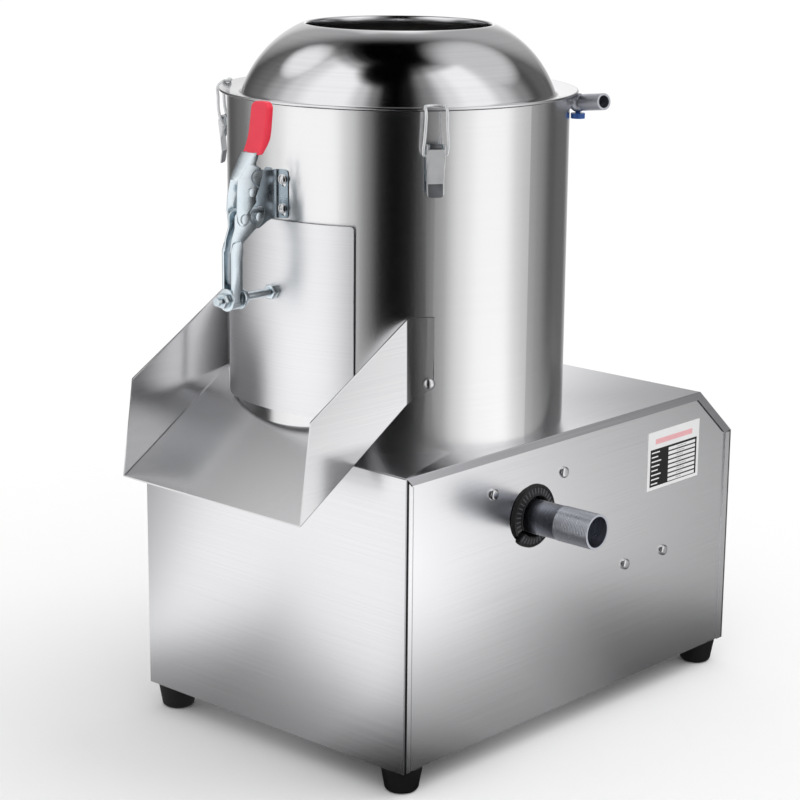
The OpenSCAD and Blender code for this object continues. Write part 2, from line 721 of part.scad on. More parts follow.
motor_bar_h = 25;
motor_plate_z = motor_z + motor_bar_h / 2;
motor_plate_l = 150;
motor_flange_z = motor_plate_z + plate_h;
motor_flange_w = 128;
motor_flange_h = 8;
motor_bolt_at = 50;
motor_bore_h = 32;
motor_hole_r = 26;
motor_bolts = [for (sx = [-1, 1], sy = [-1, 1]) [sx * motor_bolt_at, belt_centres + sy * motor_bolt_at]];
module motor_bracket() color(dark_steel) seat() difference() {
    union() {
        cross_bar(belt_centres - motor_bar_gap / 2, motor_z, motor_bar_h, -1);
        cross_bar(belt_centres + motor_bar_gap / 2, motor_z, motor_bar_h, 1);
        translate([-motor_plate_l / 2, belt_centres - motor_plate_l / 2, motor_plate_z])
            cube([motor_plate_l, motor_plate_l, plate_h]);
    }
    translate([0, belt_centres, motor_plate_z - hole_run]) cylinder(r = motor_hole_r, h = plate_h + 2 * hole_run);
    bolt_holes(motor_bolts, motor_plate_z - motor_bar_h, motor_flange_z);
    for (s = [-1, 1]) tab_hole(belt_centres + s * motor_bar_gap / 2, motor_z);
}
motor_body_z = motor_flange_z + motor_flange_h;
motor_h = top_z - sheet_t - motor_gap - motor_flange_z;
motor_fin_n = 24;
motor_fin_t = 2;
bell_h = 16;
module motor_body() color(dark_steel) seat() translate([0, belt_centres, 0]) difference() {
    union() {
        translate([-motor_flange_w / 2, -motor_flange_w / 2, motor_flange_z])
            cube([motor_flange_w, motor_flange_w, motor_flange_h]);
        translate([0, 0, motor_body_z - eps]) cylinder(r = motor_r - 8, h = motor_h - motor_flange_h);
        translate([0, 0, motor_body_z + motor_h - motor_flange_h - bell_h]) cylinder(r = motor_r, h = bell_h);
        for (i = [0 : motor_fin_n - 1]) rotate([0, 0, (i + 0.5) * 360 / motor_fin_n])
            translate([motor_r - 12, -motor_fin_t / 2, motor_body_z - eps])
                cube([11, motor_fin_t, motor_h - motor_flange_h - bell_h]);
    }
    translate([0, 0, motor_flange_z - hole_run]) cylinder(r = motor_shaft_r + pin_gap, h = motor_bore_h + hole_run);
    translate([0, -belt_centres, 0]) bolt_holes(motor_bolts, motor_flange_z, motor_body_z);
}
module motor_shaft() color(steel) seat() translate([0, belt_centres, shaft_low])
    cylinder(r = motor_shaft_r, h = motor_flange_z + motor_bore_h - face_gap - shaft_low);

// M8 bolts of the bearing housing and of the motor's flange, each with its nut
module frame_bolt(z0, z1) {
    translate([0, 0, z0 - bolt_head_h]) hex(bolt_head_flats, bolt_head_h);
    translate([0, 0, z0 - eps]) cylinder(r = bolt_r, h = z1 - z0 + bolt_head_h + 2, $fn = 48);
    translate([0, 0, z1]) hex(bolt_head_flats, bolt_head_h);
}
module frame_bolts() color(zinc) seat() {
    for (p = housing_bolts) translate([p[0], p[1], 0])
        frame_bolt(beam_top - housing_flange_h, beam_top + plate_h);
    for (p = motor_bolts) translate([p[0], p[1], 0]) frame_bolt(motor_plate_z - bar_t, motor_body_z);
}

can_r = 22;
can_h = 75;
can_x = -side_x + can_r * 2 + 15;
can_y = 60;
module capacitor() color("white") seat() translate([can_x, can_y, foot_h + sheet_t]) {
    cylinder(r = can_r, h = can_h);
    for (s = [-1, 1]) translate([s * can_r * 0.4, -3, can_h - eps]) cube([1.5, 6, 10]);
}

// ---- Drain ----
bend_r = 40;
bend_x = drain_leg + bend_r;
bend_z = drain_z + bend_r;
drain_end = side_x + drain_out;
module drain_path(r, extra) {
    translate([drain_leg, 0, bend_z]) cylinder(r = r, h = floor_top - bend_z + extra);
    translate([bend_x, 0, bend_z]) rotate([90, 0, 0]) rotate([0, 0, 180]) rotate_extrude(angle = 90)
        translate([bend_r, 0]) circle(r);
    translate([bend_x, 0, drain_z]) rotate([0, 90, 0]) cylinder(r = r, h = drain_end - bend_x + extra);
}
module drain_pipe() color(zinc) seat() difference() {
    union() {
        drain_path(drain_r, 0);
        translate([drain_end - drain_thread, 0, drain_z]) rotate([0, 90, 0]) cylinder(d = drain_d, h = drain_thread);
    }
    drain_path(drain_d / 2 - drain_wall, hole_run);
}
ring_in = 20;
ring_l = 10;
ring_split = 6;
ring_split_at = 215;
ring_lap = 4;
module drain_ring() color(black_rubber) seat() translate([panel_x, 0, drain_z]) rotate([90, 0, 90]) difference() {
    union() {
        difference() {
            cylinder(d = ring_d, h = ring_l);
            translate([0, 0, -eps]) cylinder(r = ring_in, h = ring_l + 2 * eps);
        }
        translate([0, 0, -ring_lap]) tube(panel_hole_d / 2 - pin_gap, ring_wall, ring_lap + eps);
    }
    rotate([0, 0, ring_split_at]) translate([0, -ring_split / 2, -ring_lap - hole_run])
        cube([ring_d, ring_split, ring_l + ring_lap + 2 * hole_run]);
}
ring_wall = 4;

// ---- Chute ----
wing_x = chute_w / 2;
fit_r = barrel_r + face_gap;
chute_front_z = top_z - chute_drop;
chute_back_z = top_z + chute_rise;
wing_back_y = -sqrt(fit_r * fit_r - wing_x * wing_x);
wing_front_y = -chute_reach + 13.5;
wing_top_z = chute_back_z + wing_back_h;
floor_slope = (chute_back_z - chute_front_z) / (wing_back_y + chute_reach);
floor_end_y = -60;
flange_from = asin((wing_x - sheet_t) / fit_r);
flange_turn = flange_w / fit_r * 180 / PI;
flange_rise = 16;
function floor_at(y) = chute_front_z + (y + chute_reach) * floor_slope;
module chute() color(steel) seat() {
    difference() {
        union() {
            both_sides(wing_x - sheet_t, wing_x) polygon([[-chute_reach, chute_front_z],
                [wing_front_y, chute_front_z + wing_front_h], [wing_back_y + sheet_t, wing_top_z],
                [wing_back_y + sheet_t, floor_at(wing_back_y + sheet_t)]]);
            across(-wing_x, wing_x) polygon([[-chute_reach, chute_front_z], [floor_end_y, floor_at(floor_end_y)],
                [floor_end_y, floor_at(floor_end_y) + sheet_t], [-chute_reach, chute_front_z + sheet_t]]);
        }
        translate([0, 0, chute_front_z]) cylinder(r = fit_r, h = cab_h);
    }
    for (side = [0, 1]) mirror([side, 0, 0]) difference() {
        on_wall(flange_from) translate([0, 0, chute_back_z]) rotate([0, 0, -90]) rotate_extrude(angle = flange_turn)
            translate([fit_r, 0]) square([sheet_t, wing_back_h]);
        // slanted lower edge
        on_wall(flange_from) translate([0, -fit_r - flange_w, chute_back_z])
            rotate([0, -atan(flange_rise / flange_w), 0]) translate([-flange_w, 0, -2 * flange_w])
                cube([4 * flange_w, 2 * flange_w, 2 * flange_w]);
        on_wall(chute_screw_angle) translate([0, -barrel_r, chute_screw_z]) rotate([90, 0, 0])
            cylinder(r = barrel_screw_r + pin_gap, h = flange_w, $fn = 48);
    }
}

chute_screw_in = 4.6;
chute_screw_angle = flange_from + (flange_w - chute_screw_in) / fit_r * 180 / PI;
clamp_screw_angle = 3.3;
base_plate_t = 1.8;
// A barrel screw: head at radius `out`, cap nut at radius `inside`
module barrel_screw(angle, z, head_r, out, inside) on_wall(angle) translate([0, 0, z]) {
    translate([0, -out, 0]) rotate([90, 0, 0]) screw(head_r, screw_head_h, barrel_screw_r, out - inside + nut_t);
    translate([0, -inside + curve_gap + nut_t, 0]) rotate([90, 0, 0]) cylinder(r = screw_head_r, h = nut_t, $fn = 6);
}
module barrel_screws() color(zinc) seat() {
    for (s = [-1, 1]) barrel_screw(s * chute_screw_angle, chute_screw_z, screw_head_r, fit_r + sheet_t, liner_in);
    for (s = [-1, 1]) {
        barrel_screw(s * clamp_screw_angle, clamp_screw_zs[0], screw_head_r * 0.8, base_out, liner_in);
        barrel_screw(s * clamp_screw_angle, clamp_screw_zs[1], screw_head_r * 0.8, base_out, wall_in);
    }
}

// ---- Door ----
door_in = fit_r + seal_t;
door_out = door_in + door_t;
spindle_z = door_z + spindle_up;
spindle_r = spindle_d / 2;
module door_prism(grow) translate([0, 0, opening_mid])
    along(-door_out - door_margin, -barrel_r / 2) round_rect(door_w + 2 * grow, door_h + 2 * grow, door_corner);
module spindle_hole() translate([0, 0, spindle_z]) along(-door_out - door_margin, -barrel_r / 2)
    circle(spindle_r + pin_gap);
module door() color(steel) seat() difference() {
    intersection() {
        translate([0, 0, door_z - hole_run]) tube(door_out, door_t, door_h + 2 * hole_run);
        door_prism(0);
    }
    spindle_hole();
}
module door_seal() color(black_rubber) seat() difference() {
    intersection() {
        translate([0, 0, door_z - hole_run]) tube(door_in, seal_t, door_h + 2 * hole_run);
        door_prism(-1);
    }
    translate([0, 0, opening_mid]) along(-door_out - door_margin, -barrel_r / 2)
        round_rect(opening_w + 2, opening_h + 2, door_corner);
}

// ---- Door clamp ----
// Pivots in (y, z): arm on base, lever on arm, link on base
pivot_a = [-barrel_r - pivot_out, door_top + pivot_up];
pivot_c = pivot_a - [crank_l, 0];
pivot_e = pivot_a + [-4, 23];
pivot_d = pivot_c + lever_l * (pivot_e - pivot_c) / span(pivot_c, pivot_e);
knee = pivot_c + [-5.5, 31];
lobe = pivot_e + [-1.5, 1];
grip_foot_in = 17.5;
grip_foot_up = 60;
grip_foot = pivot_c + [grip_foot_in, grip_foot_up];
grip_head = grip_foot + [12, grip_l - 8];
arm_end_drop = 28;
arm_end = [-barrel_r - rail_out, door_top - arm_end_drop];
base_out = barrel_r + face_gap / 3 + base_plate_t;
link_x = 1;
web_x0 = link_x + slide_gap;
web_x1 = web_x0 + plate_t;
cheek_x0 = web_x1 + slide_gap;
cheek_x1 = cheek_x0 + plate_t + slide_gap;
strap_x0 = cheek_x1 + slide_gap;
strap_x1 = strap_x0 + plate_t + slide_gap;
rail_x0 = spindle_r + slide_gap;
rail_x1 = rail_x0 + 3;
pin_r = 3;
web_r = 9.5;
cheek_r = 8;
strap_r = 7;
strap_end_r = 5;
lobe_r = 6;
rivet_head_r = 5;
rivet_head_h = 1.3;

module pin_hole(p) translate(p) circle(pin_r + pin_gap, $fn = 48);
module clamp_base() color(zinc) seat() {
    both_sides(web_x0, web_x1) difference() {
        union() {
            wrap2d(pivot_a, web_r, pivot_e, web_r - 1.5);
            polygon([pivot_a - [0, web_r - 6], pivot_e + [0, web_r - 1.5], [-base_out + 1, base_z + base_h],
                [-base_out + 1, base_z]]);
        }
        pin_hole(pivot_a);
        pin_hole(pivot_e);
    }
    difference() {
        intersection() {
            translate([0, 0, base_z]) tube(base_out, base_plate_t, base_h);
            translate([-base_w / 2, -base_out - 1, base_z - 1]) cube([base_w, base_out / 2, base_h + 2]);
        }
        for (s = [-1, 1], z = clamp_screw_zs) on_wall(s * clamp_screw_angle) translate([0, -barrel_r + 2, z])
            rotate([90, 0, 0]) cylinder(r = barrel_screw_r + pin_gap, h = 6, $fn = 48);
    }
}
module clamp_rivets() color(zinc) seat() {
    across(-cheek_x1 - pin_gap, cheek_x1 + pin_gap) translate(pivot_a) circle(pin_r, $fn = 48);
    both_sides(cheek_x1 + pin_gap, cheek_x1 + rivet_head_h) translate(pivot_a) circle(rivet_head_r);
    across(-web_x1, web_x1) translate(pivot_e) circle(pin_r, $fn = 48);
}
module clamp_arm() color(zinc) seat() {
    both_sides(cheek_x0, cheek_x1) difference() {
        union() {
            wrap2d(pivot_a, cheek_r, pivot_c, cheek_r);
            wrap2d(pivot_c, cheek_r, arm_end, rail_d / 2);
            wrap2d(pivot_a, cheek_r, arm_end, rail_d / 2);
            polygon([pivot_a, pivot_c, arm_end]);
        }
        pin_hole(pivot_a);
        pin_hole(pivot_c);
    }
    // two rails joined by a round end, with the spindle between them
    rail_y = -barrel_r - rail_out - rail_d / 2;
    for (s = [-1, 1]) translate([s * (rail_x0 + rail_x1) / 2, 0, (rail_low + arm_end[1]) / 2])
        translate([-(rail_x1 - rail_x0) / 2, rail_y, -(arm_end[1] - rail_low) / 2])
            cube([rail_x1 - rail_x0, rail_d, arm_end[1] - rail_low]);
    translate([0, 0, rail_low]) along(rail_y, rail_y + rail_d) difference() {
        circle(rail_x1);
        circle(rail_x0);
        translate([-rail_x1, 0]) square([2 * rail_x1, rail_x1]);
    }
}
rail_low = spindle_z - 3;
module arm_rivets() color(zinc) seat() {
    both_sides(cheek_x0, strap_x1 + pin_gap) translate(pivot_c) circle(pin_r, $fn = 48);
    both_sides(strap_x1 + pin_gap - eps, strap_x1 + rivet_head_h) translate(pivot_c) circle(rivet_head_r);
}
module clamp_link() color(zinc) seat() both_sides(0, link_x) difference() {
    wrap2d(pivot_e, strap_end_r + 1, pivot_d, strap_end_r);
    pin_hole(pivot_e);
}
module lever_line(grow) {
    wrap2d(pivot_c, strap_r + grow, knee, strap_r - 0.5 + grow);
    wrap2d(knee, strap_r - 0.5 + grow, grip_foot, strap_end_r + grow);
    wrap2d(pivot_c, strap_r + grow, lobe, lobe_r + grow);
    wrap2d(lobe, lobe_r + grow, grip_foot, strap_end_r + grow);
    polygon([pivot_c, lobe, grip_foot, knee]);
}
tang_t = 3;
tang_x = 5;
module tang(grow) across(-tang_x - grow, tang_x + grow)
    wrap2d(grip_foot, tang_t / 2 + grow, grip_head - [1.5, 6], tang_t / 2 + grow);
module clamp_lever() color(zinc) seat() {
    both_sides(strap_x0, strap_x1) difference() {
        lever_line(0);
        pin_hole(pivot_c);
    }
    // front web between the straps, and the tang inside the grip
    across(-strap_x0 - eps, strap_x0 + eps) difference() {
        wrap2d(knee, strap_r - 0.5, grip_foot, strap_end_r);
        wrap2d(knee + [plate_t, -plate_t * 0.6], strap_r - 0.5, grip_foot + [plate_t, -plate_t], strap_end_r);
        translate(knee - [0, 2 * strap_r]) square(4 * strap_r, center = true);
    }
    tang(0);
}
grip_round = 7;
module red_grip() color("red") seat() difference() {
    intersection() {
        both_sides(0, grip_w / 2) wrap2d(grip_foot + [0, 2], grip_t / 2, grip_head - [0, grip_t / 2], grip_t / 2);
        along(grip_foot[0] - 20, grip_head[0] + 20) translate([0, (grip_foot[1] + grip_head[1]) / 2])
            round_rect(grip_w, grip_head[1] - grip_foot[1] + grip_t, grip_round);
    }
    across(-strap_x1 - pin_gap, strap_x1 + pin_gap) lever_line(pin_gap);
    tang(pin_gap);
}

nut_flats = 13;
nut_h = 6.5;
washer_r = 10.5;
inner_washer_t = 2.5;
head_h = 4.5;
rail_front = -barrel_r - rail_out - rail_d / 2;
rail_back = rail_front + rail_d;
bolt_end = rail_front - 14;
module along_y(y0, y1, r) translate([0, y1, spindle_z]) rotate([90, 0, 0]) cylinder(r = r, h = y1 - y0);
module nut_along_y(y0, h) translate([0, y0 + h, spindle_z]) rotate([90, 0, 0]) difference() {
    hex(nut_flats, h);
    translate([0, 0, -eps]) cylinder(r = spindle_r + pin_gap, h = h + 2 * eps);
}
module spindle_bolt() color(zinc) seat() {
    along_y(bolt_end, -door_in + face_gap + eps, spindle_r);
    translate([0, -door_in + face_gap + head_h, spindle_z]) rotate([90, 0, 0]) hex(nut_flats, head_h);
}
module spindle_nuts() color(zinc) seat() {
    nut_along_y(rail_front - washer_t - nut_h, nut_h);
    nut_along_y(rail_back + inner_washer_t, nut_h);
    nut_along_y(-door_out - nut_h - pin_gap, nut_h);
}
washer_t = 2;
module washer_along_y(y0, t) difference() {
    along_y(y0, y0 + t, washer_r);
    along_y(y0 - 1, y0 + t + 1, spindle_r + pin_gap);
}
module spindle_washers() color(zinc) seat() {
    washer_along_y(rail_front - washer_t, washer_t);
    washer_along_y(rail_back, inner_washer_t);
}

// ---- Draw latches, drawn facing -Y in (y, z) and turned into place ----
rivet_r = 2;
latch_head_r = 3.4;
latch_head_h = 1.2;
latch_plate_t = 1.2;
latch_plate_w = 16;
latch_base_h = 41;
latch_base_z = barrel_top - latch_drop - latch_base_h - 1;
latch_base_out = barrel_r + face_gap / 3 + latch_plate_t;
latch_rivet_zs = [latch_base_z + 7, latch_base_z + 25];
pivot_p = [-barrel_r - 9, barrel_top - latch_drop];
pivot_q = pivot_p + [1, -7];
ear_r = 3;
latch_pin_r = 1.5;
wire_r = wire_d / 2;
lever_ear = 1.2;
lever_x1 = latch_w / 2;
lever_x0 = lever_x1 - lever_ear;
ear_x1 = lever_x0 - slide_gap;
ear_x0 = ear_x1 - latch_plate_t;
wire_x = lever_x1 + wire_r + slide_gap;
lever_face = pivot_p[0] - ear_r - face_gap;
wire_bar = [-barrel_r - 6, brim_edge_z + face_gap + wire_r];
wire_path = [pivot_q, pivot_p + [-3, 13], pivot_p + [-3.5, 32], wire_bar + [-4, 0], wire_bar];

module latch_bases() color(zinc) seat() for (a = latch_angles) on_wall(a) {
    difference() {
        intersection() {
            translate([0, 0, latch_base_z]) tube(latch_base_out, latch_plate_t, latch_base_h);
            translate([-latch_plate_w / 2, -latch_base_out - 1, latch_base_z - 1])
                cube([latch_plate_w, latch_base_out / 2, latch_base_h + 2]);
        }
        for (z = latch_rivet_zs) translate([0, -barrel_r + 1, z]) rotate([90, 0, 0])
            cylinder(r = rivet_r + pin_gap, h = 4, $fn = 48);
    }
    both_sides(ear_x0, ear_x1) difference() {
        wrap2d(pivot_p, ear_r, [-latch_base_out + 0.5, pivot_p[1] - 9], ear_r - 2);
        translate(pivot_p) circle(latch_pin_r + pin_gap, $fn = 48);
        translate([-barrel_r - face_gap / 3, latch_base_z]) square([latch_base_h, latch_base_h]);
    }
}
module latch_rivets() color(zinc) seat() for (a = latch_angles) on_wall(a) {
    across(-lever_x1, lever_x1) translate(pivot_p) circle(latch_pin_r, $fn = 48);
    for (z = latch_rivet_zs) translate([0, 0, z]) rotate([90, 0, 0]) {
        translate([0, 0, wall_in - latch_head_h]) cylinder(r = rivet_r, h = latch_base_out - wall_in + latch_head_h, $fn = 48);
        for (out = [wall_in - curve_gap - latch_head_h, latch_base_out])
            translate([0, 0, out]) cylinder(r = latch_head_r, h = latch_head_h);
    }
}
tab_out = 4;
module latch_lever(a) color(zinc) seat() on_wall(a) {
    low = pivot_p[1] - latch_l;
    across(-lever_x1, lever_x1) polygon([[lever_face, pivot_p[1] + 1], [lever_face, low],
        [lever_face - tab_out, low - 12], [lever_face - tab_out - lever_ear, low - 12],
        [lever_face - lever_ear, low], [lever_face - lever_ear, pivot_p[1] + 1]]);
    both_sides(lever_x0, lever_x1) difference() {
        union() {
            wrap2d(pivot_p, ear_r, pivot_q, ear_r);
            polygon([[lever_face - eps, pivot_p[1] + 1], [pivot_p[0], pivot_p[1] + 1], pivot_q + [2, -1],
                [pivot_q[0], pivot_q[1] - 3], [lever_face + 1, low + 6], [lever_face - eps, low + 6]]);
        }
        translate(pivot_p) circle(latch_pin_r + pin_gap, $fn = 48);
        translate(pivot_q) circle(wire_r + pin_gap, $fn = 48);
    }
}
// A straight piece of wire that runs a little past both points
module rod(a, b) translate(a) rotate([0, acos((b[2] - a[2]) / span(a, b)), atan2(b[1] - a[1], b[0] - a[0])])
    translate([0, 0, -wire_r / 2]) cylinder(r = wire_r, h = span(a, b) + wire_r, $fn = 24);
module latch_wire(a) color(zinc) seat() on_wall(a) {
    for (s = [-1, 1]) {
        path = [for (p = wire_path) [s * wire_x, p[0], p[1]]];
        for (i = [0 : len(path) - 2]) rod(path[i], path[i + 1]);
    }
    across(-wire_x, wire_x) translate(wire_bar) circle(wire_r, $fn = 24);
    both_sides(lever_x0 - eps, wire_x) translate(pivot_q) circle(wire_r, $fn = 24);
}
module latch_lever_right() latch_lever(latch_angles[0]);
module latch_lever_back() latch_lever(latch_angles[1]);
module latch_lever_left() latch_lever(latch_angles[2]);
module latch_wire_right() latch_wire(latch_angles[0]);
module latch_wire_back() latch_wire(latch_angles[1]);
module latch_wire_left() latch_wire(latch_angles[2]);

// ---- Water inlet ----
elbow_r = 9;
elbow_out = barrel_r + 8;
elbow_stub = 9;
stem_r = 2.5;
knob_r = 6.8;
knob_h = 5;
inlet_bore_r = nozzle_bore / 2 - 2;
elbow_at = [elbow_out * sin(inlet_angle), -elbow_out * cos(inlet_angle), inlet_z];
module toward_nozzle() translate(elbow_at) rotate([0, 0, nozzle_angle - 90]) rotate([0, 90 - nozzle_rise, 0]) children();
module toward_wall() translate(elbow_at) rotate([0, 0, inlet_angle + 90]) rotate([0, 90, 0]) children();
module inlet_elbow() color(steel) seat() difference() {
    union() {
        translate(elbow_at) sphere(r = elbow_r);
        toward_wall() cylinder(r = spud_r, h = elbow_out - wall_in - face_gap);
        toward_nozzle() cylinder(r = nozzle_bore / 2 - pin_gap, h = elbow_r + elbow_stub);
    }
    toward_wall() translate([0, 0, -inlet_bore_r / 2]) cylinder(r = inlet_bore_r, h = elbow_out);
    toward_nozzle() cylinder(r = inlet_bore_r, h = elbow_r + elbow_stub + 1);
    translate(elbow_at - [0, 0, elbow_r + 1]) cylinder(r = stem_r + pin_gap, h = elbow_r / 2 + 1, $fn = 48);
}
module inlet_nozzle() color(steel) seat() toward_nozzle() translate([0, 0, elbow_r + 0.5])
    tube(nozzle_d / 2, (nozzle_d - nozzle_bore) / 2, nozzle_l);
module inlet_knob() color("blue") seat() translate(elbow_at) {
    translate([0, 0, -elbow_r - 1 - knob_h]) cylinder(r = knob_r, h = knob_h);
    translate([0, 0, -elbow_r - 1 - eps]) cylinder(r = stem_r, h = elbow_r / 2, $fn = 48);
}

// ---- Switch and cord gland ----
switch_t = 4;
block_d = 40;
start_r = 11;
stop_r = 14;
cap_l = side_x + button_out - panel_x - switch_t - button_travel - 1;
button_stem_r = 8;
stem_l = 10;
button_at = 21;
bezel_w = 2.5;
bezel_h = 4;
bezel_gap = 1;
button_face = -side_x - button_out;
switch_face = -panel_x - switch_t;
module place_button(s) translate([0, switch_y, switch_z + s * button_at]) rotate([0, 90, 0]) children();
module switch_box() color("dimgray") seat() difference() {
    union() {
        translate([switch_face, switch_y - switch_w / 2, switch_z - switch_h / 2]) cube([switch_t, switch_w, switch_h]);
        translate([-panel_x - eps, switch_y - block_w / 2, switch_z - block_h / 2]) cube([block_d, block_w, block_h]);
        for (b = [[1, start_r], [-1, stop_r]]) place_button(b[0]) translate([0, 0, switch_face - bezel_h])
            tube(b[1] + bezel_gap + bezel_w, bezel_w, bezel_h + eps);
    }
    for (s = [-1, 1]) place_button(s) translate([0, 0, switch_face - bezel_h])
        cylinder(r = button_stem_r + pin_gap, h = bezel_h + stem_l + button_travel + 2);
}
module push_button(s, r) place_button(s) {
    translate([0, 0, button_face]) cylinder(r = r, h = cap_l);
    translate([0, 0, button_face + cap_l - eps]) cylinder(r = button_stem_r, h = switch_face + stem_l - button_face - cap_l);
}
module start_button() color("green") seat() push_button(1, start_r);
module stop_button() color("red") seat() push_button(-1, stop_r);

gland_nut_r = 12;
gland_nut_h = 5;
module cord_gland() color(black_rubber) seat() translate([gland_x, back_y, gland_z]) rotate([-90, 0, 0]) difference() {
    union() {
        translate([0, 0, -gland_nut_h * 2]) cylinder(r = gland_r, h = gland_nut_h * 2 + eps);
        translate([0, 0, -sheet_t - gland_nut_h]) cylinder(r = gland_nut_r, h = gland_nut_h, $fn = 6);
        cylinder(r = gland_nut_r, h = gland_nut_h, $fn = 6);
        cylinder(r = gland_r, h = gland_out);
    }
    translate([0, 0, -gland_nut_h * 2 - 1]) cylinder(d = gland_bore, h = gland_out + 2 * gland_nut_h + 2);
}

wrap_shell();
side_panel_right();
side_panel_left();
corner_posts();
base_pan();
feet();
side_screws();
data_plate();
barrel_shell();
barrel_floor();
abrasive_liner();
lid();
lid_gasket();
shaft_seal();
support_beam();
bearing_housing();
shaft_bearings();
drive_shaft();
driven_pulley();
turntable();
grit_plate();
disc_cap();
drive_belt();
motor_body();
motor_bracket();
motor_shaft();
motor_pulley();
capacitor();
frame_bolts();
drain_pipe();
drain_ring();
chute();
barrel_screws();
door();
door_seal();
clamp_base();
clamp_rivets();
clamp_arm();
arm_rivets();
clamp_link();
clamp_lever();
red_grip();
spindle_bolt();
spindle_nuts();
spindle_washers();
latch_bases();
latch_rivets();
latch_lever_right();
latch_lever_back();
latch_lever_left();
latch_wire_right();
latch_wire_back();
latch_wire_left();
inlet_elbow();
inlet_nozzle();
inlet_knob();
switch_box();
start_button();
stop_button();
cord_gland();
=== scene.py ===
# Electric potato peeler: steel drum with a clamped discharge door on a sheet metal cabinet
import math
import bpy
import bmesh
from mathutils import Matrix, Vector


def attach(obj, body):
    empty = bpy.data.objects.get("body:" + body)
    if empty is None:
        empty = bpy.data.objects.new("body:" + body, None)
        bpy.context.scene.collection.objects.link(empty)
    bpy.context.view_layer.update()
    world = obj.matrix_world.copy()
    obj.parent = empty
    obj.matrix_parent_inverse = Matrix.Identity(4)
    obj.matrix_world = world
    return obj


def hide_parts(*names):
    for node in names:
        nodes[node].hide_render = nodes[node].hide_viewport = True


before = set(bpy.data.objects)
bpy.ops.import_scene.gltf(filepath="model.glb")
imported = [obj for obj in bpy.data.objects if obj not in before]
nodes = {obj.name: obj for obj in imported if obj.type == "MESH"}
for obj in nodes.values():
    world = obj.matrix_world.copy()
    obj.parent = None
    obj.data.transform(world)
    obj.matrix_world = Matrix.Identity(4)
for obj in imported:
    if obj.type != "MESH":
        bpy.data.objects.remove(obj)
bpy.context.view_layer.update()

scene = bpy.context.scene

# The machine is drawn in millimetres about the drum's axis, then moved to its place in the frame
drumAxis = Vector((-33.5, -49.0, 0.0))
toFrame = Matrix.Scale(0.001, 4) @ Matrix.Translation(drumAxis)


def stage(name):
    print("stage:", name)


# Camera: its place in millimetres, its angles in degrees
camera = {"at": (1440.3, -1670.9, 868.6), "turn": 42.1505, "down": 14.0688, "roll": 0.5203, "lens": 102.14,
          "sensor": 36.0, "farClip": 60.0}


def makeCamera():
    data = bpy.data.cameras.new("camera")
    data.lens = camera["lens"]
    data.sensor_width = camera["sensor"]
    data.clip_end = camera["farClip"]
    view = bpy.data.objects.new("camera", data)
    scene.collection.objects.link(view)
    turn = Matrix.Rotation(math.radians(camera["turn"]), 4, "Z")
    tilt = Matrix.Rotation(math.radians(90.0 - camera["down"]), 4, "X")
    roll = Matrix.Rotation(math.radians(camera["roll"]), 4, "Z")
    view.matrix_world = Matrix.Translation(Vector(camera["at"]) * 0.001) @ turn @ tilt @ roll
    scene.camera = view


makeCamera()
stage("camera")


# Material helpers
def colourFromHex(text):
    channels = [int(text[i:i + 2], 16) / 255.0 for i in (1, 3, 5)]
    return tuple(c / 12.92 if c <= 0.04045 else ((c + 0.055) / 1.055) ** 2.4 for c in channels) + (1.0,)


def addNode(tree, kind, inputs=None, **settings):
    node = tree.nodes.new("ShaderNode" + kind)
    for name, value in settings.items():
        setattr(node, name, value)
    for name, value in (inputs or {}).items():
        socket = node.inputs[name] if isinstance(name, int) else next(
            i for i in node.inputs if i.name == name and i.enabled)
        if isinstance(value, bpy.types.NodeSocket):
            tree.links.new(value, socket)
        else:
            socket.default_value = value
    return node


def newMaterial(name, colour, metallic, roughness):
    material = bpy.data.materials.new(name)
    material.use_nodes = True
    tree = material.node_tree
    shader = tree.nodes["Principled BSDF"]
    shader.inputs["Base Color"].default_value = colourFromHex(colour)
    shader.inputs["Metallic"].default_value = metallic
    shader.inputs["Roughness"].default_value = roughness
    material.diffuse_color = colourFromHex(colour)
    return material, tree, shader


def objectPattern(tree, scale=(1.0, 1.0, 1.0), move=(0.0, 0.0, 0.0)):
    coords = addNode(tree, "TexCoord").outputs["Object"]
    return addNode(tree, "Mapping", {"Vector": coords, "Scale": scale, "Location": move}).outputs[0]


def remap(tree, value, low, high, fromLow=0.3, fromHigh=0.7):
    return addNode(tree, "MapRange", {"Value": value, "From Min": fromLow, "From Max": fromHigh,
                                      "To Min": low, "To Max": high}).outputs["Result"]


def pick(sockets, kind):  # the enabled socket of a kind, where a node has one for each data type
    return next(s for s in sockets if s.type == kind and s.enabled)


def mixColours(tree, factor, first, second):
    mix = addNode(tree, "Mix", {"Factor": factor}, data_type="RGBA")
    for socket, colour in zip([i for i in mix.inputs if i.type == "RGBA" and i.enabled], (first, second)):
        socket.default_value = colourFromHex(colour)
    return pick(mix.outputs, "RGBA")


def toned(tree, noise, dark, light):
    return mixColours(tree, remap(tree, noise.outputs["Fac"], 0.0, 1.0), dark, light)


def setSurface(tree, shader, colour, roughness, height, depth, distance, invert=False):
    bump = addNode(tree, "Bump", {"Height": height, "Strength": depth, "Distance": distance}, invert=invert)
    for name, value in (("Base Color", colour), ("Roughness", roughness), ("Normal", bump.outputs[0])):
        if value is not None:
            tree.links.new(value, shader.inputs[name])


# Sheet steel with a brushed grain, along X on the end walls and along Y elsewhere. Its lines are
# drawn 1 mm apart, coarser than the real ones, so that they show
sheetGrain = {"apart": 0.001, "length": 0.2}


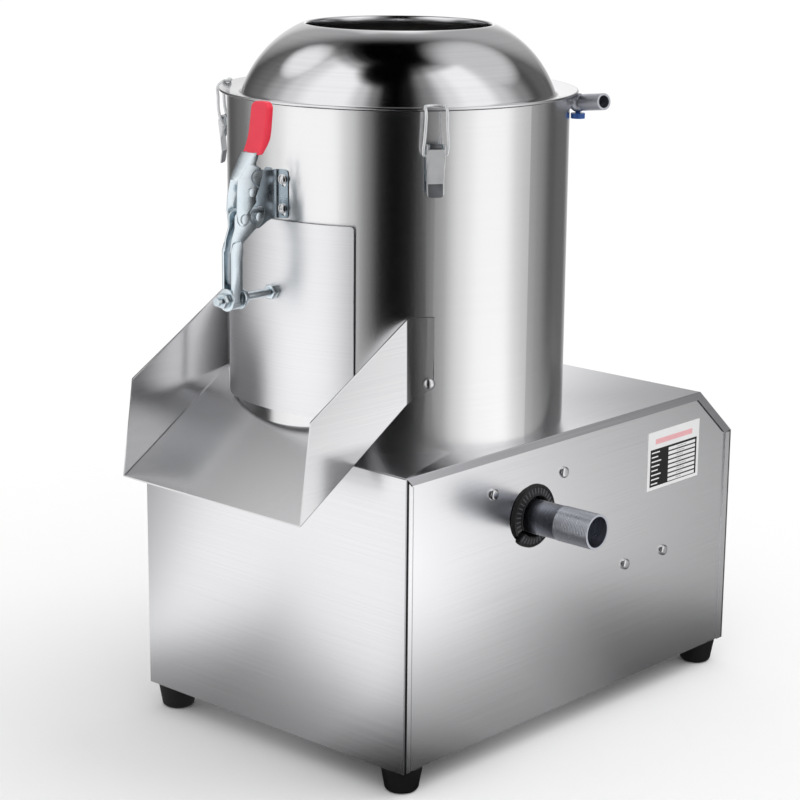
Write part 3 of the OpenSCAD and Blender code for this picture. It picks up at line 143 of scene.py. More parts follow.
def brushedSteel(name, light, dark, roughness, depth, spread):
    material, tree, shader = newMaterial(name, light, 1.0, roughness)
    fine, long = 1.0 / sheetGrain["apart"], 1.0 / sheetGrain["length"]
    facing = addNode(tree, "SeparateXYZ", {"Vector": addNode(tree, "NewGeometry").outputs["Normal"]})
    endwise = addNode(tree, "Math", {0: facing.outputs["Y"]}, operation="ABSOLUTE")
    endwise = addNode(tree, "Math", {0: endwise.outputs[0], 1: 0.7}, operation="GREATER_THAN")
    places = addNode(tree, "Mix", {"Factor": endwise.outputs[0], "A": objectPattern(tree, (fine, long, fine)),
                                   "B": objectPattern(tree, (long, fine, fine))}, data_type="VECTOR")
    lines = addNode(tree, "TexNoise", {"Vector": pick(places.outputs, "VECTOR"), "Scale": 1.0, "Detail": 2.0})
    return finishBrushed(material, tree, shader, lines, light, dark, roughness, depth, spread)


# Rolled steel polished round the drum: reflections run up and down, across the polishing lines
def rolledSteel(name, light, dark, roughness, stretch, apart, depth, spread):
    material, tree, shader = newMaterial(name, light, 1.0, roughness)
    around = 4.0  # cells of the noise per metre along a line
    pattern = objectPattern(tree, (around, around, 1.0 / apart))
    lines = addNode(tree, "TexNoise", {"Vector": pattern, "Scale": 1.0, "Detail": 2.0})
    shader.inputs["Anisotropic"].default_value = stretch
    upright = addNode(tree, "CombineXYZ", {"X": 0.0, "Y": 0.0, "Z": 1.0})
    tree.links.new(upright.outputs[0], shader.inputs["Tangent"])
    return finishBrushed(material, tree, shader, lines, light, dark, roughness, depth, spread)


def finishBrushed(material, tree, shader, lines, light, dark, roughness, depth, spread):
    clouds = addNode(tree, "TexNoise", {"Vector": objectPattern(tree), "Scale": 7.0, "Detail": 2.0})
    both = addNode(tree, "Math", {0: lines.outputs["Fac"], 1: clouds.outputs["Fac"]}, operation="ADD")
    rough = remap(tree, both.outputs[0], roughness - spread, roughness + spread, 0.7, 1.3)
    setSurface(tree, shader, toned(tree, lines, dark, light), rough, lines.outputs["Fac"], depth, 0.0004)
    return material


# Drawn pipe: plain near the cabinet, lighter and finely threaded past the given place along X
def threadedPipe(name, plain, worked, roughness, threadFrom, pitch, fade):
    material, tree, shader = newMaterial(name, worked, 1.0, roughness)
    place = addNode(tree, "TexCoord").outputs["Object"]
    across = addNode(tree, "SeparateXYZ", {"Vector": place}).outputs["X"]
    past = remap(tree, across, 0.0, 1.0, threadFrom - fade, threadFrom + fade)
    turns = addNode(tree, "Math", {0: across, 1: 2.0 * math.pi / pitch}, operation="MULTIPLY")
    ridge = addNode(tree, "Math", {0: turns.outputs[0]}, operation="SINE")
    ridge = addNode(tree, "Math", {0: ridge.outputs[0], 1: past}, operation="MULTIPLY")
    pattern = objectPattern(tree, (700.0, 90.0, 90.0))  # scratches run round the pipe
    marks = addNode(tree, "TexNoise", {"Vector": pattern, "Scale": 1.0, "Detail": 3.0})
    height = addNode(tree, "Math", {0: ridge.outputs[0], 1: marks.outputs["Fac"]}, operation="ADD")
    rough = remap(tree, marks.outputs["Fac"], roughness - 0.05, roughness + 0.06)
    setSurface(tree, shader, mixColours(tree, past, plain, worked), rough, height.outputs[0], 0.26, 0.0003)
    return material


# Plated or cast metal with an even grain, given in specks per metre
def grainedMetal(name, light, dark, roughness, grain=900.0, depth=0.1, spread=0.08, metallic=1.0):
    material, tree, shader = newMaterial(name, light, metallic, roughness)
    specks = addNode(tree, "TexNoise", {"Vector": objectPattern(tree), "Scale": grain, "Detail": 4.0})
    clouds = addNode(tree, "TexNoise", {"Vector": objectPattern(tree), "Scale": grain / 18.0, "Detail": 3.0})
    rough = remap(tree, clouds.outputs["Fac"], roughness - spread, roughness + spread)
    setSurface(tree, shader, toned(tree, clouds, dark, light), rough, specks.outputs["Fac"], depth, 0.0004)
    return material


# Moulded plastic, rubber or paint: fine orange peel, given in bumps per metre, and faint dust in the tone
def mouldedFinish(name, light, dark, roughness, grain=700.0, depth=0.08, coat=0.0):
    material, tree, shader = newMaterial(name, light, 0.0, roughness)
    peel = addNode(tree, "TexNoise", {"Vector": objectPattern(tree), "Scale": grain, "Detail": 2.0})
    dust = addNode(tree, "TexNoise", {"Vector": objectPattern(tree), "Scale": 35.0, "Detail": 4.0})
    rough = remap(tree, dust.outputs["Fac"], roughness - 0.05, roughness + 0.06)
    setSurface(tree, shader, toned(tree, dust, dark, light), rough, peel.outputs["Fac"], depth, 0.0003)
    shader.inputs["Coat Weight"].default_value = coat
    shader.inputs["Coat Roughness"].default_value = 0.08
    return material


# Bonded abrasive: sharp dark and pale grains standing up from the binder
def abrasiveGrit(name):
    material, tree, shader = newMaterial(name, "#4a4744", 0.0, 0.85)
    grains = addNode(tree, "TexVoronoi", {"Vector": objectPattern(tree), "Scale": 420.0, "Randomness": 1.0})
    tone = addNode(tree, "TexNoise", {"Vector": objectPattern(tree), "Scale": 600.0, "Detail": 3.0})
    colour = toned(tree, tone, "#2b2a29", "#8d8984")
    setSurface(tree, shader, colour, None, grains.outputs["Distance"], 0.9, 0.0012, invert=True)
    return material


finishes = {
    # stainless sheet, satin polished: wide soft reflections over a faint straight grain
    "cabinetSteel": brushedSteel("satinStainlessCabinet", "#eaeaec", "#e5e5e8", 0.26, 0.004, 0.012),
    # painted light: side panels and corner posts in a lighter copy of the same sheet, the brighter of the two walls
    "panelSteel": brushedSteel("litStainlessPanel", "#f8f8fa", "#f3f3f5", 0.26, 0.004, 0.012),
    # painted shade: the same sheet along its folded lips, and beside the posts, made a greyer border
    "lipShadeSteel": brushedSteel("shadedStainlessFold", "#bdbdc0", "#b3b3b7", 0.34, 0.006, 0.02),
    # painted shade: near black for the bottom of a narrow seam between sheets, where almost no light comes back
    "seamShade": mouldedFinish("unlitSheetSeam", "#0b0b0c", "#070708", 0.8),
    # rolled drum, polished round its axis: sharp upright bands, blurred up and down
    "drumSteel": rolledSteel("polishedStainlessDrum", "#ebebec", "#e9e9ea", 0.24, 0.8, 0.0012, 0.0008, 0.004),
    # the door's duller polish: one broad soft glow across its curve
    "doorSteel": rolledSteel("satinStainlessDoor", "#f1f1f3", "#ececee", 0.4, 0.5, 0.0012, 0.0015, 0.006),
    # spun lid buffed to a mirror: crisp curved bands of light and dark
    "domeSteel": rolledSteel("mirrorPolishedLid", "#e4e4e6", "#dedee0", 0.1, 0.0, 0.002, 0.002, 0.01),
    # folded tray, satin: a little greyer than the cabinet, with its grain along the slide
    "chuteSteel": brushedSteel("satinStainlessChute", "#dededf", "#d8d8da", 0.22, 0.006, 0.01),
    # painted shade: the base's zinc passivate made dim and bluish, as in the shade of the grip
    "clampFlange": grainedMetal("shadedZincBase", "#b4c1ca", "#9fadb7", 0.3),
    # painted shade: the pressed ribs drawn as darker curls on the pale plate, for the shade along their bends
    "zincShade": grainedMetal("shadedZincRib", "#8f9ba4", "#7c8892", 0.34),
    # bright nickel-like plate: clean pale grey with soft highlights
    "latchSteel": grainedMetal("brightLatchPlate", "#e2e3e4", "#d4d5d7", 0.4, metallic=0.7),
    # painted shade: the latch's pressed tab and rolled eye in a dull mid grey between bright edges
    "latchTabShade": grainedMetal("shadedLatchTab", "#85878b", "#75777b", 0.45),
    # drawn wire, bright plated: nearly white all round
    "wireSteel": grainedMetal("brightLatchWire", "#f2f3f4", "#e6e8ea", 0.42, metallic=0.6),
    # polished screw heads: neutral, with one hard dark edge
    "screwSteel": grainedMetal("polishedStainlessScrew", "#dfdfe1", "#cfcfd1", 0.16, 1200.0, 0.03, 0.03),
    # printing inks on the data plate: flat and slightly glossy
    "plateBlack": mouldedFinish("blackPlatePrint", "#050506", "#030304", 0.5),
    "platePink": mouldedFinish("pinkPlatePrint", "#f3b9bd", "#efb0b5", 0.4),
    "plateGrey": mouldedFinish("greyPlatePrint", "#b7babd", "#aeb1b4", 0.4),
    # zinc plate with a blue passivate: cold silver with a fine even grain
    "zincPlate": grainedMetal("blueZincPlatedSteel", "#e9f2f7", "#d5e1e8", 0.24),
    # drawn steel pipe: blue-grey, lighter past the ring, where it is threaded
    "pipeSteel": threadedPipe("plainSteelPipe", "#82858f", "#c3c6cf", 0.3, 0.1815, 0.0018, 0.0006),
    # the pipe's turned end: a thin grey ring
    "pipeRim": grainedMetal("turnedPipeRim", "#a9acb6", "#989ba5", 0.42),
    # bead-blasted tube of the inlet: soft grey without clear reflections
    "nozzleSteel": grainedMetal("satinSteelNozzle", "#c9cbd2", "#b9bbc3", 0.45),
    # ground shafts and races: bright and tight-grained
    "shaftSteel": grainedMetal("turnedShaftSteel", "#c9cacc", "#b5b6ba", 0.25),
    # sand-cast aluminium: pale, coarse and matt
    "castAluminium": grainedMetal("castAluminium", "#b9babc", "#9fa1a4", 0.5, 500.0, 0.4),
    # cast iron, oiled: dark grey with a rough skin
    "castIron": grainedMetal("castIron", "#6f7072", "#58595b", 0.6, 400.0, 0.5),
    # deep-drawn can: smooth satin silver
    "canMetal": grainedMetal("drawnAluminiumCan", "#cfd0d2", "#bfc0c3", 0.35),
    # moulded rubber: near black with a soft broad sheen
    "blackRubber": mouldedFinish("blackRubber", "#1b1b1d", "#111112", 0.55),
    # the collar's raised ribs: fine grey spokes on the black
    "rubberRib": mouldedFinish("greyRubberRib", "#5d5e61", "#4f5053", 0.5),
    # bonded abrasive: dark binder full of pale sparkling grains
    "grit": abrasiveGrit("bondedAbrasiveGrit"),
    # stove enamel: even dark grey with a light gloss
    "paintedSteel": mouldedFinish("greyPaintedSteel", "#4d5357", "#43484c", 0.45, coat=0.2),
    # printed film: clean white, hardly glossy
    "platePrint": mouldedFinish("printedPlate", "#f4f4f4", "#ececec", 0.35),
    # dipped vinyl: saturated red with a smooth waxy highlight
    "redGrip": mouldedFinish("redDippedVinylGrip", "#ff3c54", "#f5334a", 0.34, 400.0, 0.05, coat=0.15),
    # moulded plastics of the controls: fine orange peel, glossier on the buttons
    "blueKnob": mouldedFinish("blueMouldedKnob", "#2f5fa8", "#28549a", 0.35),
    "switchGrey": mouldedFinish("greySwitchCase", "#3c3f43", "#34373a", 0.5),
    "startGreen": mouldedFinish("greenPushButton", "#1f9d4a", "#1a8a40", 0.3, coat=0.3),
    "stopRed": mouldedFinish("redPushButton", "#d1232a", "#bd1d24", 0.3, coat=0.3),
    "glandPlastic": mouldedFinish("blackNylonGland", "#1d1e20", "#151617", 0.45),
}
nodeFinishes = {
    "cabinetSteel": ["wrap_shell", "corner_posts", "base_pan"],
    "panelSteel": ["side_panel_right", "side_panel_left"],
    "chuteSteel": ["chute"],
    "drumSteel": ["barrel_shell", "barrel_floor"],
    "doorSteel": ["door"],
    "domeSteel": ["lid"],
    "screwSteel": ["side_screws", "barrel_screws"],
    "zincPlate": ["frame_bolts", "clamp_base", "clamp_rivets", "clamp_arm",
                  "arm_rivets", "clamp_link", "clamp_lever", "spindle_bolt", "spindle_nuts", "spindle_washers",
                  "latch_bases", "latch_rivets", "latch_lever_right", "latch_lever_back", "latch_lever_left",
                  "latch_wire_right", "latch_wire_back", "latch_wire_left"],
    "pipeSteel": ["drain_pipe"],
    "nozzleSteel": ["inlet_elbow", "inlet_nozzle"],
    "shaftSteel": ["drive_shaft", "motor_shaft", "shaft_bearings", "disc_cap"],
    "castAluminium": ["turntable", "motor_body"],
    "castIron": ["bearing_housing", "driven_pulley", "motor_pulley"],
    "canMetal": ["capacitor"],
    "blackRubber": ["feet", "lid_gasket", "shaft_seal", "door_seal", "drain_ring", "drive_belt"],
    "grit": ["abrasive_liner", "grit_plate"],
    "paintedSteel": ["support_beam", "motor_bracket"],
    "platePrint": ["data_plate"],
    "redGrip": ["red_grip"],
    "blueKnob": ["inlet_knob"],
    "switchGrey": ["switch_box"],
    "startGreen": ["start_button"],
    "stopRed": ["stop_button"],
    "glandPlastic": ["cord_gland"],
}
for finish, names in nodeFinishes.items():
    for name in names:
        part = nodes[name]
        if not part.material_slots:
            part.data.materials.append(finishes[finish])
        for slot in part.material_slots:
            slot.material = finishes[finish]
stage("materials")

# Shape helpers: pieces are drawn in millimetres about the drum's axis
def addRod(shape, start, end, radius, segments):
    along = Vector(end) - Vector(start)
    middle = Matrix.Translation((Vector(start) + Vector(end)) / 2.0)
    place = middle @ along.to_track_quat("Z", "Y").to_matrix().to_4x4()
    bmesh.ops.create_cone(shape, cap_ends=True, segments=segments, radius1=radius, radius2=radius,
                          depth=along.length, matrix=place)


def addBlock(shape, low, high):
    size = Vector(high) - Vector(low)
    place = Matrix.Translation((Vector(low) + Vector(high)) / 2.0) @ Matrix.Diagonal((*size, 1.0))
    return bmesh.ops.create_cube(shape, size=1.0, matrix=place)["verts"]


def bevelled(shape, geom, width, segments, affect="EDGES", clamp=False):
    bmesh.ops.bevel(shape, geom=geom, offset=width, offset_type="OFFSET", affect=affect, segments=segments,
                    profile=0.5, material=-1, clamp_overlap=clamp)
    return shape


def soften(shape, width, segments, sharp, keep=None, clamp=True):  # round the edges sharper than an angle
    edges = [e for e in shape.edges if len(e.link_faces) == 2 and e.calc_face_angle(0.0) > math.radians(sharp)
             and (keep is None or keep(e))]
    return bevelled(shape, edges, width, segments, clamp=clamp)


def turned(shape, degrees, axis="Z", verts=None):
    matrix = Matrix.Rotation(math.radians(degrees), 3, axis)
    bmesh.ops.rotate(shape, matrix=matrix, verts=verts or shape.verts[:])
    return shape


def placed(shape, matrix):
    bmesh.ops.transform(shape, matrix=matrix, verts=shape.verts[:])
    return shape


def facedOut(shape):
    bmesh.ops.recalc_face_normals(shape, faces=shape.faces[:])
    return shape


def filled(shape):
    bmesh.ops.holes_fill(shape, edges=[e for e in shape.edges if e.is_boundary], sides=0)
    return shape


def everything(shape):
    return shape.verts[:] + shape.edges[:] + shape.faces[:]


def outline(points):
    shape = bmesh.new()
    shape.faces.new([shape.verts.new(point) for point in points])
    return shape


def pushed(shape, move):  # a flat outline extruded along a straight line
    made = bmesh.ops.extrude_face_region(shape, geom=shape.faces[:])["geom"]
    bmesh.ops.translate(shape, vec=move, verts=[g for g in made if isinstance(g, bmesh.types.BMVert)])
    return shape


def meshFrom(shape, name):
    mesh = bpy.data.meshes.new(name)
    shape.to_mesh(mesh)
    shape.free()
    return mesh


def joined(*shapes):
    whole = bmesh.new()
    for part in shapes:
        mesh = meshFrom(part, "joining")
        whole.from_mesh(mesh)
        bpy.data.meshes.remove(mesh)
    return whole


def arc(centre, radius, start, end, steps):
    turns = [math.radians(start + (end - start) * i / steps) for i in range(steps + 1)]
    return [(centre[0] + radius * math.cos(t), centre[1] + radius * math.sin(t)) for t in turns]


def spun(points, steps, turn=360.0):  # a closed section in (radius, height), turned about Z
    shape = bmesh.new()
    verts = [shape.verts.new((r, 0.0, z)) for r, z in points]
    edges = [shape.edges.new((verts[i], verts[(i + 1) % len(verts)])) for i in range(len(verts))]
    bmesh.ops.spin(shape, geom=verts + edges, cent=(0, 0, 0), axis=(0, 0, 1), angle=math.radians(turn),
                   steps=steps, use_merge=turn >= 360.0, use_duplicate=False)
    return shape if turn >= 360.0 else filled(shape)


def hullPlate(circles, x0, x1, edge):  # a plate across X that wraps circles given as (y, z, radius)
    shape = bmesh.new()
    for x in (x0, x1):
        for y, z, radius in circles:
            place = Matrix.Translation((x, y, z)) @ Matrix.Rotation(math.pi / 2.0, 4, "Y")
            bmesh.ops.create_circle(shape, segments=28, radius=radius, matrix=place)
    made = bmesh.ops.convex_hull(shape, input=shape.verts[:])
    spare = {g for key in ("geom_interior", "geom_unused") for g in made[key]}
    bmesh.ops.delete(shape, geom=[g for g in spare if isinstance(g, bmesh.types.BMVert)], context="VERTS")
    bmesh.ops.delete(shape, geom=[e for e in shape.edges if not e.link_faces], context="EDGES")
    bmesh.ops.dissolve_limit(shape, angle_limit=math.radians(0.5), verts=shape.verts[:], edges=shape.edges[:])
    return soften(shape, edge, 2, 60.0) if edge else shape


def outlinePlate(corners, x0, x1, edge=0.4):  # a plate across X with rounded corners (y, z, radius)
    shape = outline([(x0, y, z) for y, z, radius in corners])
    for vert, corner in zip(shape.verts[:], corners):
        if corner[2]:
            a, b = ((e.other_vert(vert).co - vert.co).normalized() for e in vert.link_edges)
            reach = corner[2] / math.tan(max(0.3, a.angle(b)) / 2.0)
            bevelled(shape, [vert], reach, 7, "VERTICES", True)
    facedOut(pushed(shape, (x1 - x0, 0, 0)))
    return soften(shape, edge, 2, 60.0) if edge else shape


def bothSides(make, x0, x1, *rest, **more):  # a plate and its twin across the middle plane
    return joined(make(*rest, x0=x0, x1=x1, **more), make(*rest, x0=-x1, x1=-x0, **more))


def cut(shape, axis, places):  # new edge loops in the planes across an axis
    for place in places:
        at, normal = [0.0, 0.0, 0.0], [0.0, 0.0, 0.0]
        at[axis], normal[axis] = place, 1.0
        bmesh.ops.bisect_plane(shape, geom=everything(shape), plane_co=at, plane_no=normal)


def copyOf(node):  # a merged copy of a CAD part's mesh
    shape = bmesh.new()
    shape.from_mesh(nodes[node].data)
    placed(shape, toFrame.inverted())
    bmesh.ops.remove_doubles(shape, verts=shape.verts[:], dist=0.002)
    bmesh.ops.dissolve_limit(shape, angle_limit=math.radians(0.4), verts=shape.verts[:], edges=shape.edges[:])
    return shape


def dress(piece, body, covers):
    scene.collection.objects.link(piece)
    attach(piece, body)
    if covers:
        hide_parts(*covers)
    return piece


def addPiece(name, shape, finish, body, covers=(), sharp=35.0, flatOver=None, turn=0.0):
    turned(shape, turn)
    bmesh.ops.remove_doubles(shape, verts=shape.verts[:], dist=0.0005)
    facedOut(shape)
    for face in shape.faces:  # faces over a size in square millimetres stay flat
        face.smooth = flatOver is None or face.calc_area() < flatOver
    mesh = meshFrom(placed(shape, toFrame), name)
    mesh.set_sharp_from_angle(angle=math.radians(sharp))
    for one in [finish] if isinstance(finish, str) else finish:
        mesh.materials.append(finishes[one])
    return dress(bpy.data.objects.new(name, mesh), body, covers)


def addWire(name, points, radius, finish, body, covers=(), turn=0.0):
    curve = bpy.data.curves.new(name, "CURVE")
    curve.dimensions = "3D"
    curve.bevel_depth = radius * 0.001
    curve.bevel_resolution = 4
    curve.resolution_u = 8
    curve.use_fill_caps = True
    line = curve.splines.new("BEZIER")
    line.bezier_points.add(len(points) - 1)
    place = toFrame @ Matrix.Rotation(math.radians(turn), 4, "Z")
    for spot, point in zip(line.bezier_points, points):
        spot.co = place @ Vector(point)
        spot.handle_left_type = spot.handle_right_type = "AUTO"
    curve.materials.append(finishes[finish])
    return dress(bpy.data.objects.new(name, curve), body, covers)


# Lid: spun dome with its hole's edge turned down, and a brim with a hemmed edge
lidSheet = {"curve": 109.0, "centre": (48.1, 591.2), "curveFoot": 19.2, "innerFoot": 18.4, "steps": 44,
            "thick": 1.2, "foot": (152.0, 624.2), "rim": (173.0, 630.2), "hole": 89.0, "lipLow": 683.2,
            "holeRound": 2.2, "footRound": 3.0, "footCentre": (153.98, 627.89), "footFrom": 197.6,
            "hem": 1.3, "hemLap": 1.9}


def makeLid():
    d = lidSheet
    cx, cz = d["centre"]
    t, hole, lap, steps = d["thick"], d["hole"], d["hemLap"], d["steps"]
    lean = math.degrees(math.atan2(d["rim"][1] - d["foot"][1], d["rim"][0] - d["foot"][0]))
    inner = hole + d["holeRound"]
    top = math.degrees(math.acos((inner - cx) / (d["curve"] - d["holeRound"])))
    turnAt = (inner, cz + (d["curve"] - d["holeRound"]) * math.sin(math.radians(top)))
    hem = (d["rim"][0] - d["hem"], d["rim"][1] - d["hem"])
    outside = arc(d["centre"], d["curve"], top, d["curveFoot"], steps)
    outside += arc(d["footCentre"], d["footRound"], d["footFrom"], 270.0 + lean, 6)
    outside += arc(hem, d["hem"], 90.0 + lean, -90.0, 8)
    low = math.tan(math.radians(lean))
    under = [(hem[0] - lap + 0.3, hem[1] - d["hem"]),
             (hem[0] - lap, d["rim"][1] - t - 0.05 - (d["hem"] + lap) * low),
             (d["foot"][0] - 1.0, d["foot"][1] - t - low)]
    under += arc(d["centre"], d["curve"] - t, d["innerFoot"], top, steps)
    lip = arc(turnAt, d["holeRound"] - t, top, 180.0, 5) + [(hole + t, d["lipLow"]), (hole, d["lipLow"])]
    lip += arc(turnAt, d["holeRound"], 180.0, top, 8)[:-1]
    addPiece("lidDome", spun(outside + under + lip, 144), "domeSteel", "machine", ["lid"],
             40.0)


makeLid()
stage("lid")

# Cabinet: folded wrap with rounded outer bends
cabinetBends = {"halfWidth": 174.0, "front": -177.0, "back": 337.0, "top": 309.0, "slopeFrom": 277.0,
                "slopeLow": 257.0, "bend": 1.2, "edge": 0.4, "lip": 1.45, "edgeFrom": 20.0, "bendFrom": 100.0}


def outerSkins(point):  # the numbers of the outer faces that a point lies on
    d = cabinetBends
    rise, run = d["top"] - d["slopeLow"], d["back"] - d["slopeFrom"]
    slope = rise * (point.y - d["slopeFrom"]) + run * (point.z - d["top"])
    tests = (point.x > d["halfWidth"] - 0.01, point.x < 0.01 - d["halfWidth"], point.y < d["front"] + 0.01,
             point.y > d["back"] - 0.01, point.z > d["top"] - 0.01, abs(slope) < 1.0)
    return {i for i, hit in enumerate(tests) if hit}


def makeCabinet():
    d = cabinetBends
    wrap = copyOf("wrap_shell")

    def shared(edge):
        return outerSkins(edge.verts[0].co) & outerSkins(edge.verts[1].co)

    def sideEdge(edge):
        return len(shared(edge)) > 1 and shared(edge) & {0, 1} and edge.calc_length() > d["edgeFrom"]

    def crossBend(edge):
        return len(shared(edge)) > 1 and abs(edge.verts[0].co.x - edge.verts[1].co.x) > d["bendFrom"]

    soften(wrap, d["edge"], 2, 20.0, sideEdge, False)
    soften(wrap, d["bend"], 4, 20.0, crossBend, False)
    # painted shade: the lips are coloured a greyer steel and their cut edges near black
    for face in wrap.faces:
        off = abs(face.calc_center_median().x)
        if off > d["halfWidth"] - 0.1:  # the lips that frame the side panels
            face.material_index = 1
        elif off > d["halfWidth"] - d["lip"] and abs(face.normal.x) < 0.1 and not outerSkins(face.verts[0].co):
            face.material_index = 2  # their cut edges
    addPiece("cabinetWrap", wrap, ["cabinetSteel", "lipShadeSteel", "seamShade"], "machine",
             ["wrap_shell"], flatOver=150.0)


# Corner posts drawn back from the wrap, and near-black strips as painted shade at the bottoms of the slits and
# mitres round them
seams = {"floor": (172.55, 173.15), "front": (-175.6, -172.3), "back": (334.1, 335.6), "low": 25.0,
         "high": 307.4, "backHigh": 256.0, "postFrom": -174.3, "postTo": -172.4, "postInner": (-167.3, -164.6),
         "postTop": 298.6, "mitre": [(-175.5, 307.9, 0), (-174.7, 307.9, 0), (-167.3, 300.4, 0),
                                     (-167.3, 297.8, 0), (-175.5, 306.0, 0)]}


def makeSeams():
    d = seams
    posts = copyOf("corner_posts")
    for vert in posts.verts:
        if abs(vert.co.x) > d["floor"][0] and abs(vert.co.y - d["postFrom"]) < 0.1:
            vert.co.y = d["postTo"]
            if vert.co.z > d["postTop"]:
                vert.co.z += d["postFrom"] - d["postTo"]
    addPiece("cornerPosts", posts, "panelSteel", "machine", ["corner_posts"], 30.0, 0.0)
    x0, x1 = d["floor"]
    slits = [bothSides(outlinePlate, x0, x1, d["mitre"], edge=0)]
    for (y0, y1), high, depth in ((d["front"], d["high"], x1), (d["back"], d["backHigh"], x1),
                                  (d["postInner"], d["postTop"], x0 + 0.05)):
        corners = [(y0, d["low"], 0), (y1, d["low"], 0), (y1, high, 0), (y0, high, 0)]
        slits.append(bothSides(outlinePlate, x0 - 0.1, depth, corners, edge=0))
    shades = joined(*slits)
    for face in shades.faces:  # painted shade: the line beside a post is a greyer strip, not a black one
        if max(abs(v.co.x) for v in face.verts) < x0 + 0.1:
            face.material_index = 1
    addPiece("seamShades", shades, ["seamShade", "lipShadeSteel"], "machine", (), 30.0, 0.0)


# Domed screw heads over the side panels' screws
sideScrew = {"face": 172.5, "sunk": 2.4, "height": 3.3, "radius": 5.6, "round": 2.3,
             "places": [(-53.0, 268.0), (53.0, 268.0), (157.5, 150.0), (222.5, 150.0)]}


def makeSideScrews():
    d = sideScrew
    foot, crown = d["face"] - d["sunk"], d["face"] + d["height"]
    heads = []
    for side in (-1.0, 1.0):
        for y, z in d["places"]:
            head = bmesh.new()
            addRod(head, (side * foot, y, z), (side * crown, y, z), d["radius"], 48)
            heads.append(soften(head, d["round"], 6, 50.0))
    addPiece("sideScrewHeads", joined(*heads), "screwSteel", "machine")


makeCabinet()
makeSeams()
makeSideScrews()
stage("cabinet")

# Chute: folded tray, its bends rounded
chuteTray = {"halfWidth": 119.0, "sheet": 1.5, "bend": 1.3, "foldRun": 60.0, "foldRise": 40.0, "wingBack": -175.0,
             "slideFoot": 275.0, "slideHead": 360.0}


def makeChute():
    d = chuteTray
    tray = copyOf("chute")
    inside = d["halfWidth"] - d["sheet"]

    def folded(edge):  # where the wings stand up from the slide, and where their flanges turn out
        a, b = (v.co for v in edge.verts)
        runs = abs(a.y - b.y) > d["foldRun"] and abs(abs(a.x) - abs(b.x)) < 0.01
        slide = runs and min(a.z, b.z) < d["slideFoot"] and max(a.z, b.z) < d["slideHead"]
        upright = abs(a.z - b.z) > d["foldRise"] and max(a.y, b.y) > d["wingBack"]
        return abs(a.x) > inside - 0.02 and (slide or upright)

    soften(tray, d["bend"], 3, 20.0, folded, False)
    addPiece("chuteTray", tray, "chuteSteel", "machine", ["chute"], 30.0, 100.0)


makeChute()
stage("chute")

# Door: sheet bent round the drum over its seal, with small round corners
doorSheet = {"bend": 169.5, "front": -169.5, "thick": 1.9, "half": 81.8, "low": 340.0, "high": 521.0,
             "corner": 4.0, "edge": 0.3}


def makeDoor():
    d = doorSheet
    r0, r1 = d["bend"] - d["thick"], d["bend"]
    span = 2.0 * math.degrees(math.asin(d["half"] / d["bend"]))
    sheet = spun([(r0, d["low"]), (r1, d["low"]), (r1, d["high"]), (r0, d["high"])], 60, span)
    facedOut(turned(sheet, -90.0 - span / 2.0))
    corners = [e for e in sheet.edges if abs(e.verts[0].co.z - e.verts[1].co.z) < 0.01
               and abs(e.calc_length() - d["thick"]) < 0.01 and abs(e.verts[0].co.x) > d["half"] - 1.5]
    bevelled(sheet, corners, d["corner"], 6, clamp=True)
    soften(sheet, d["edge"], 2, 60.0)
    bmesh.ops.translate(sheet, vec=(0.0, d["front"] + d["bend"], 0.0), verts=sheet.verts[:])
    addPiece("doorSheet", sheet, "doorSteel", "door_arm", ["door"])


makeDoor()
stage("door")

# Door clamp: base, arm, lever and red grip, in (y, z) either side of the middle plane
clamp = {"armPivot": (-194.0, 527.0), "leverPivot": (-213.5, 527.0), "linkPivot": (-198.0, 550.0),
         "stud": (-203.6, 550.5), "web": (1.2, 3.0), "cheek": (3.2, 5.2), "strap": (5.4, 7.4), "rail": (4.2, 7.2),
         "railLow": 451.0, "railFront": -228.5, "railBack": -215.5, "wall": 165.1, "plate": 1.8,
         "flangeHalf": 15.5, "flangeBend": 5.0, "flangeCorner": 3.6, "flangeLow": 523.0, "flangeHigh": 568.0,
         "slots": (530.0, 557.0), "slotAt": 10.6, "slotSize": (4.8, 9.6), "pin": 2.9, "rivetHeight": 1.3,
         "rivetRound": 0.8, "knee": 562.0, "kneeReach": 17.0, "kneeDepth": 0.26, "ribRadius": 0.75,
         "tang": [(-198.0, 582.5), (-187.6, 597.0), (-184.9, 611.0), (-183.9, 620.0)],
         "tangRound": 1.2, "tangHalf": 5.0,
         # heights where the lever's plates are divided, so that they can be drawn in at the knee
         "strapCuts": [545.0, 548.0, 551.0, 554.0, 557.0, 559.5, 562.0, 564.5, 567.0, 570.0, 573.0, 576.0, 579.0],
         "faceCuts": [566.0, 569.0, 573.0, 577.0, 581.0]}
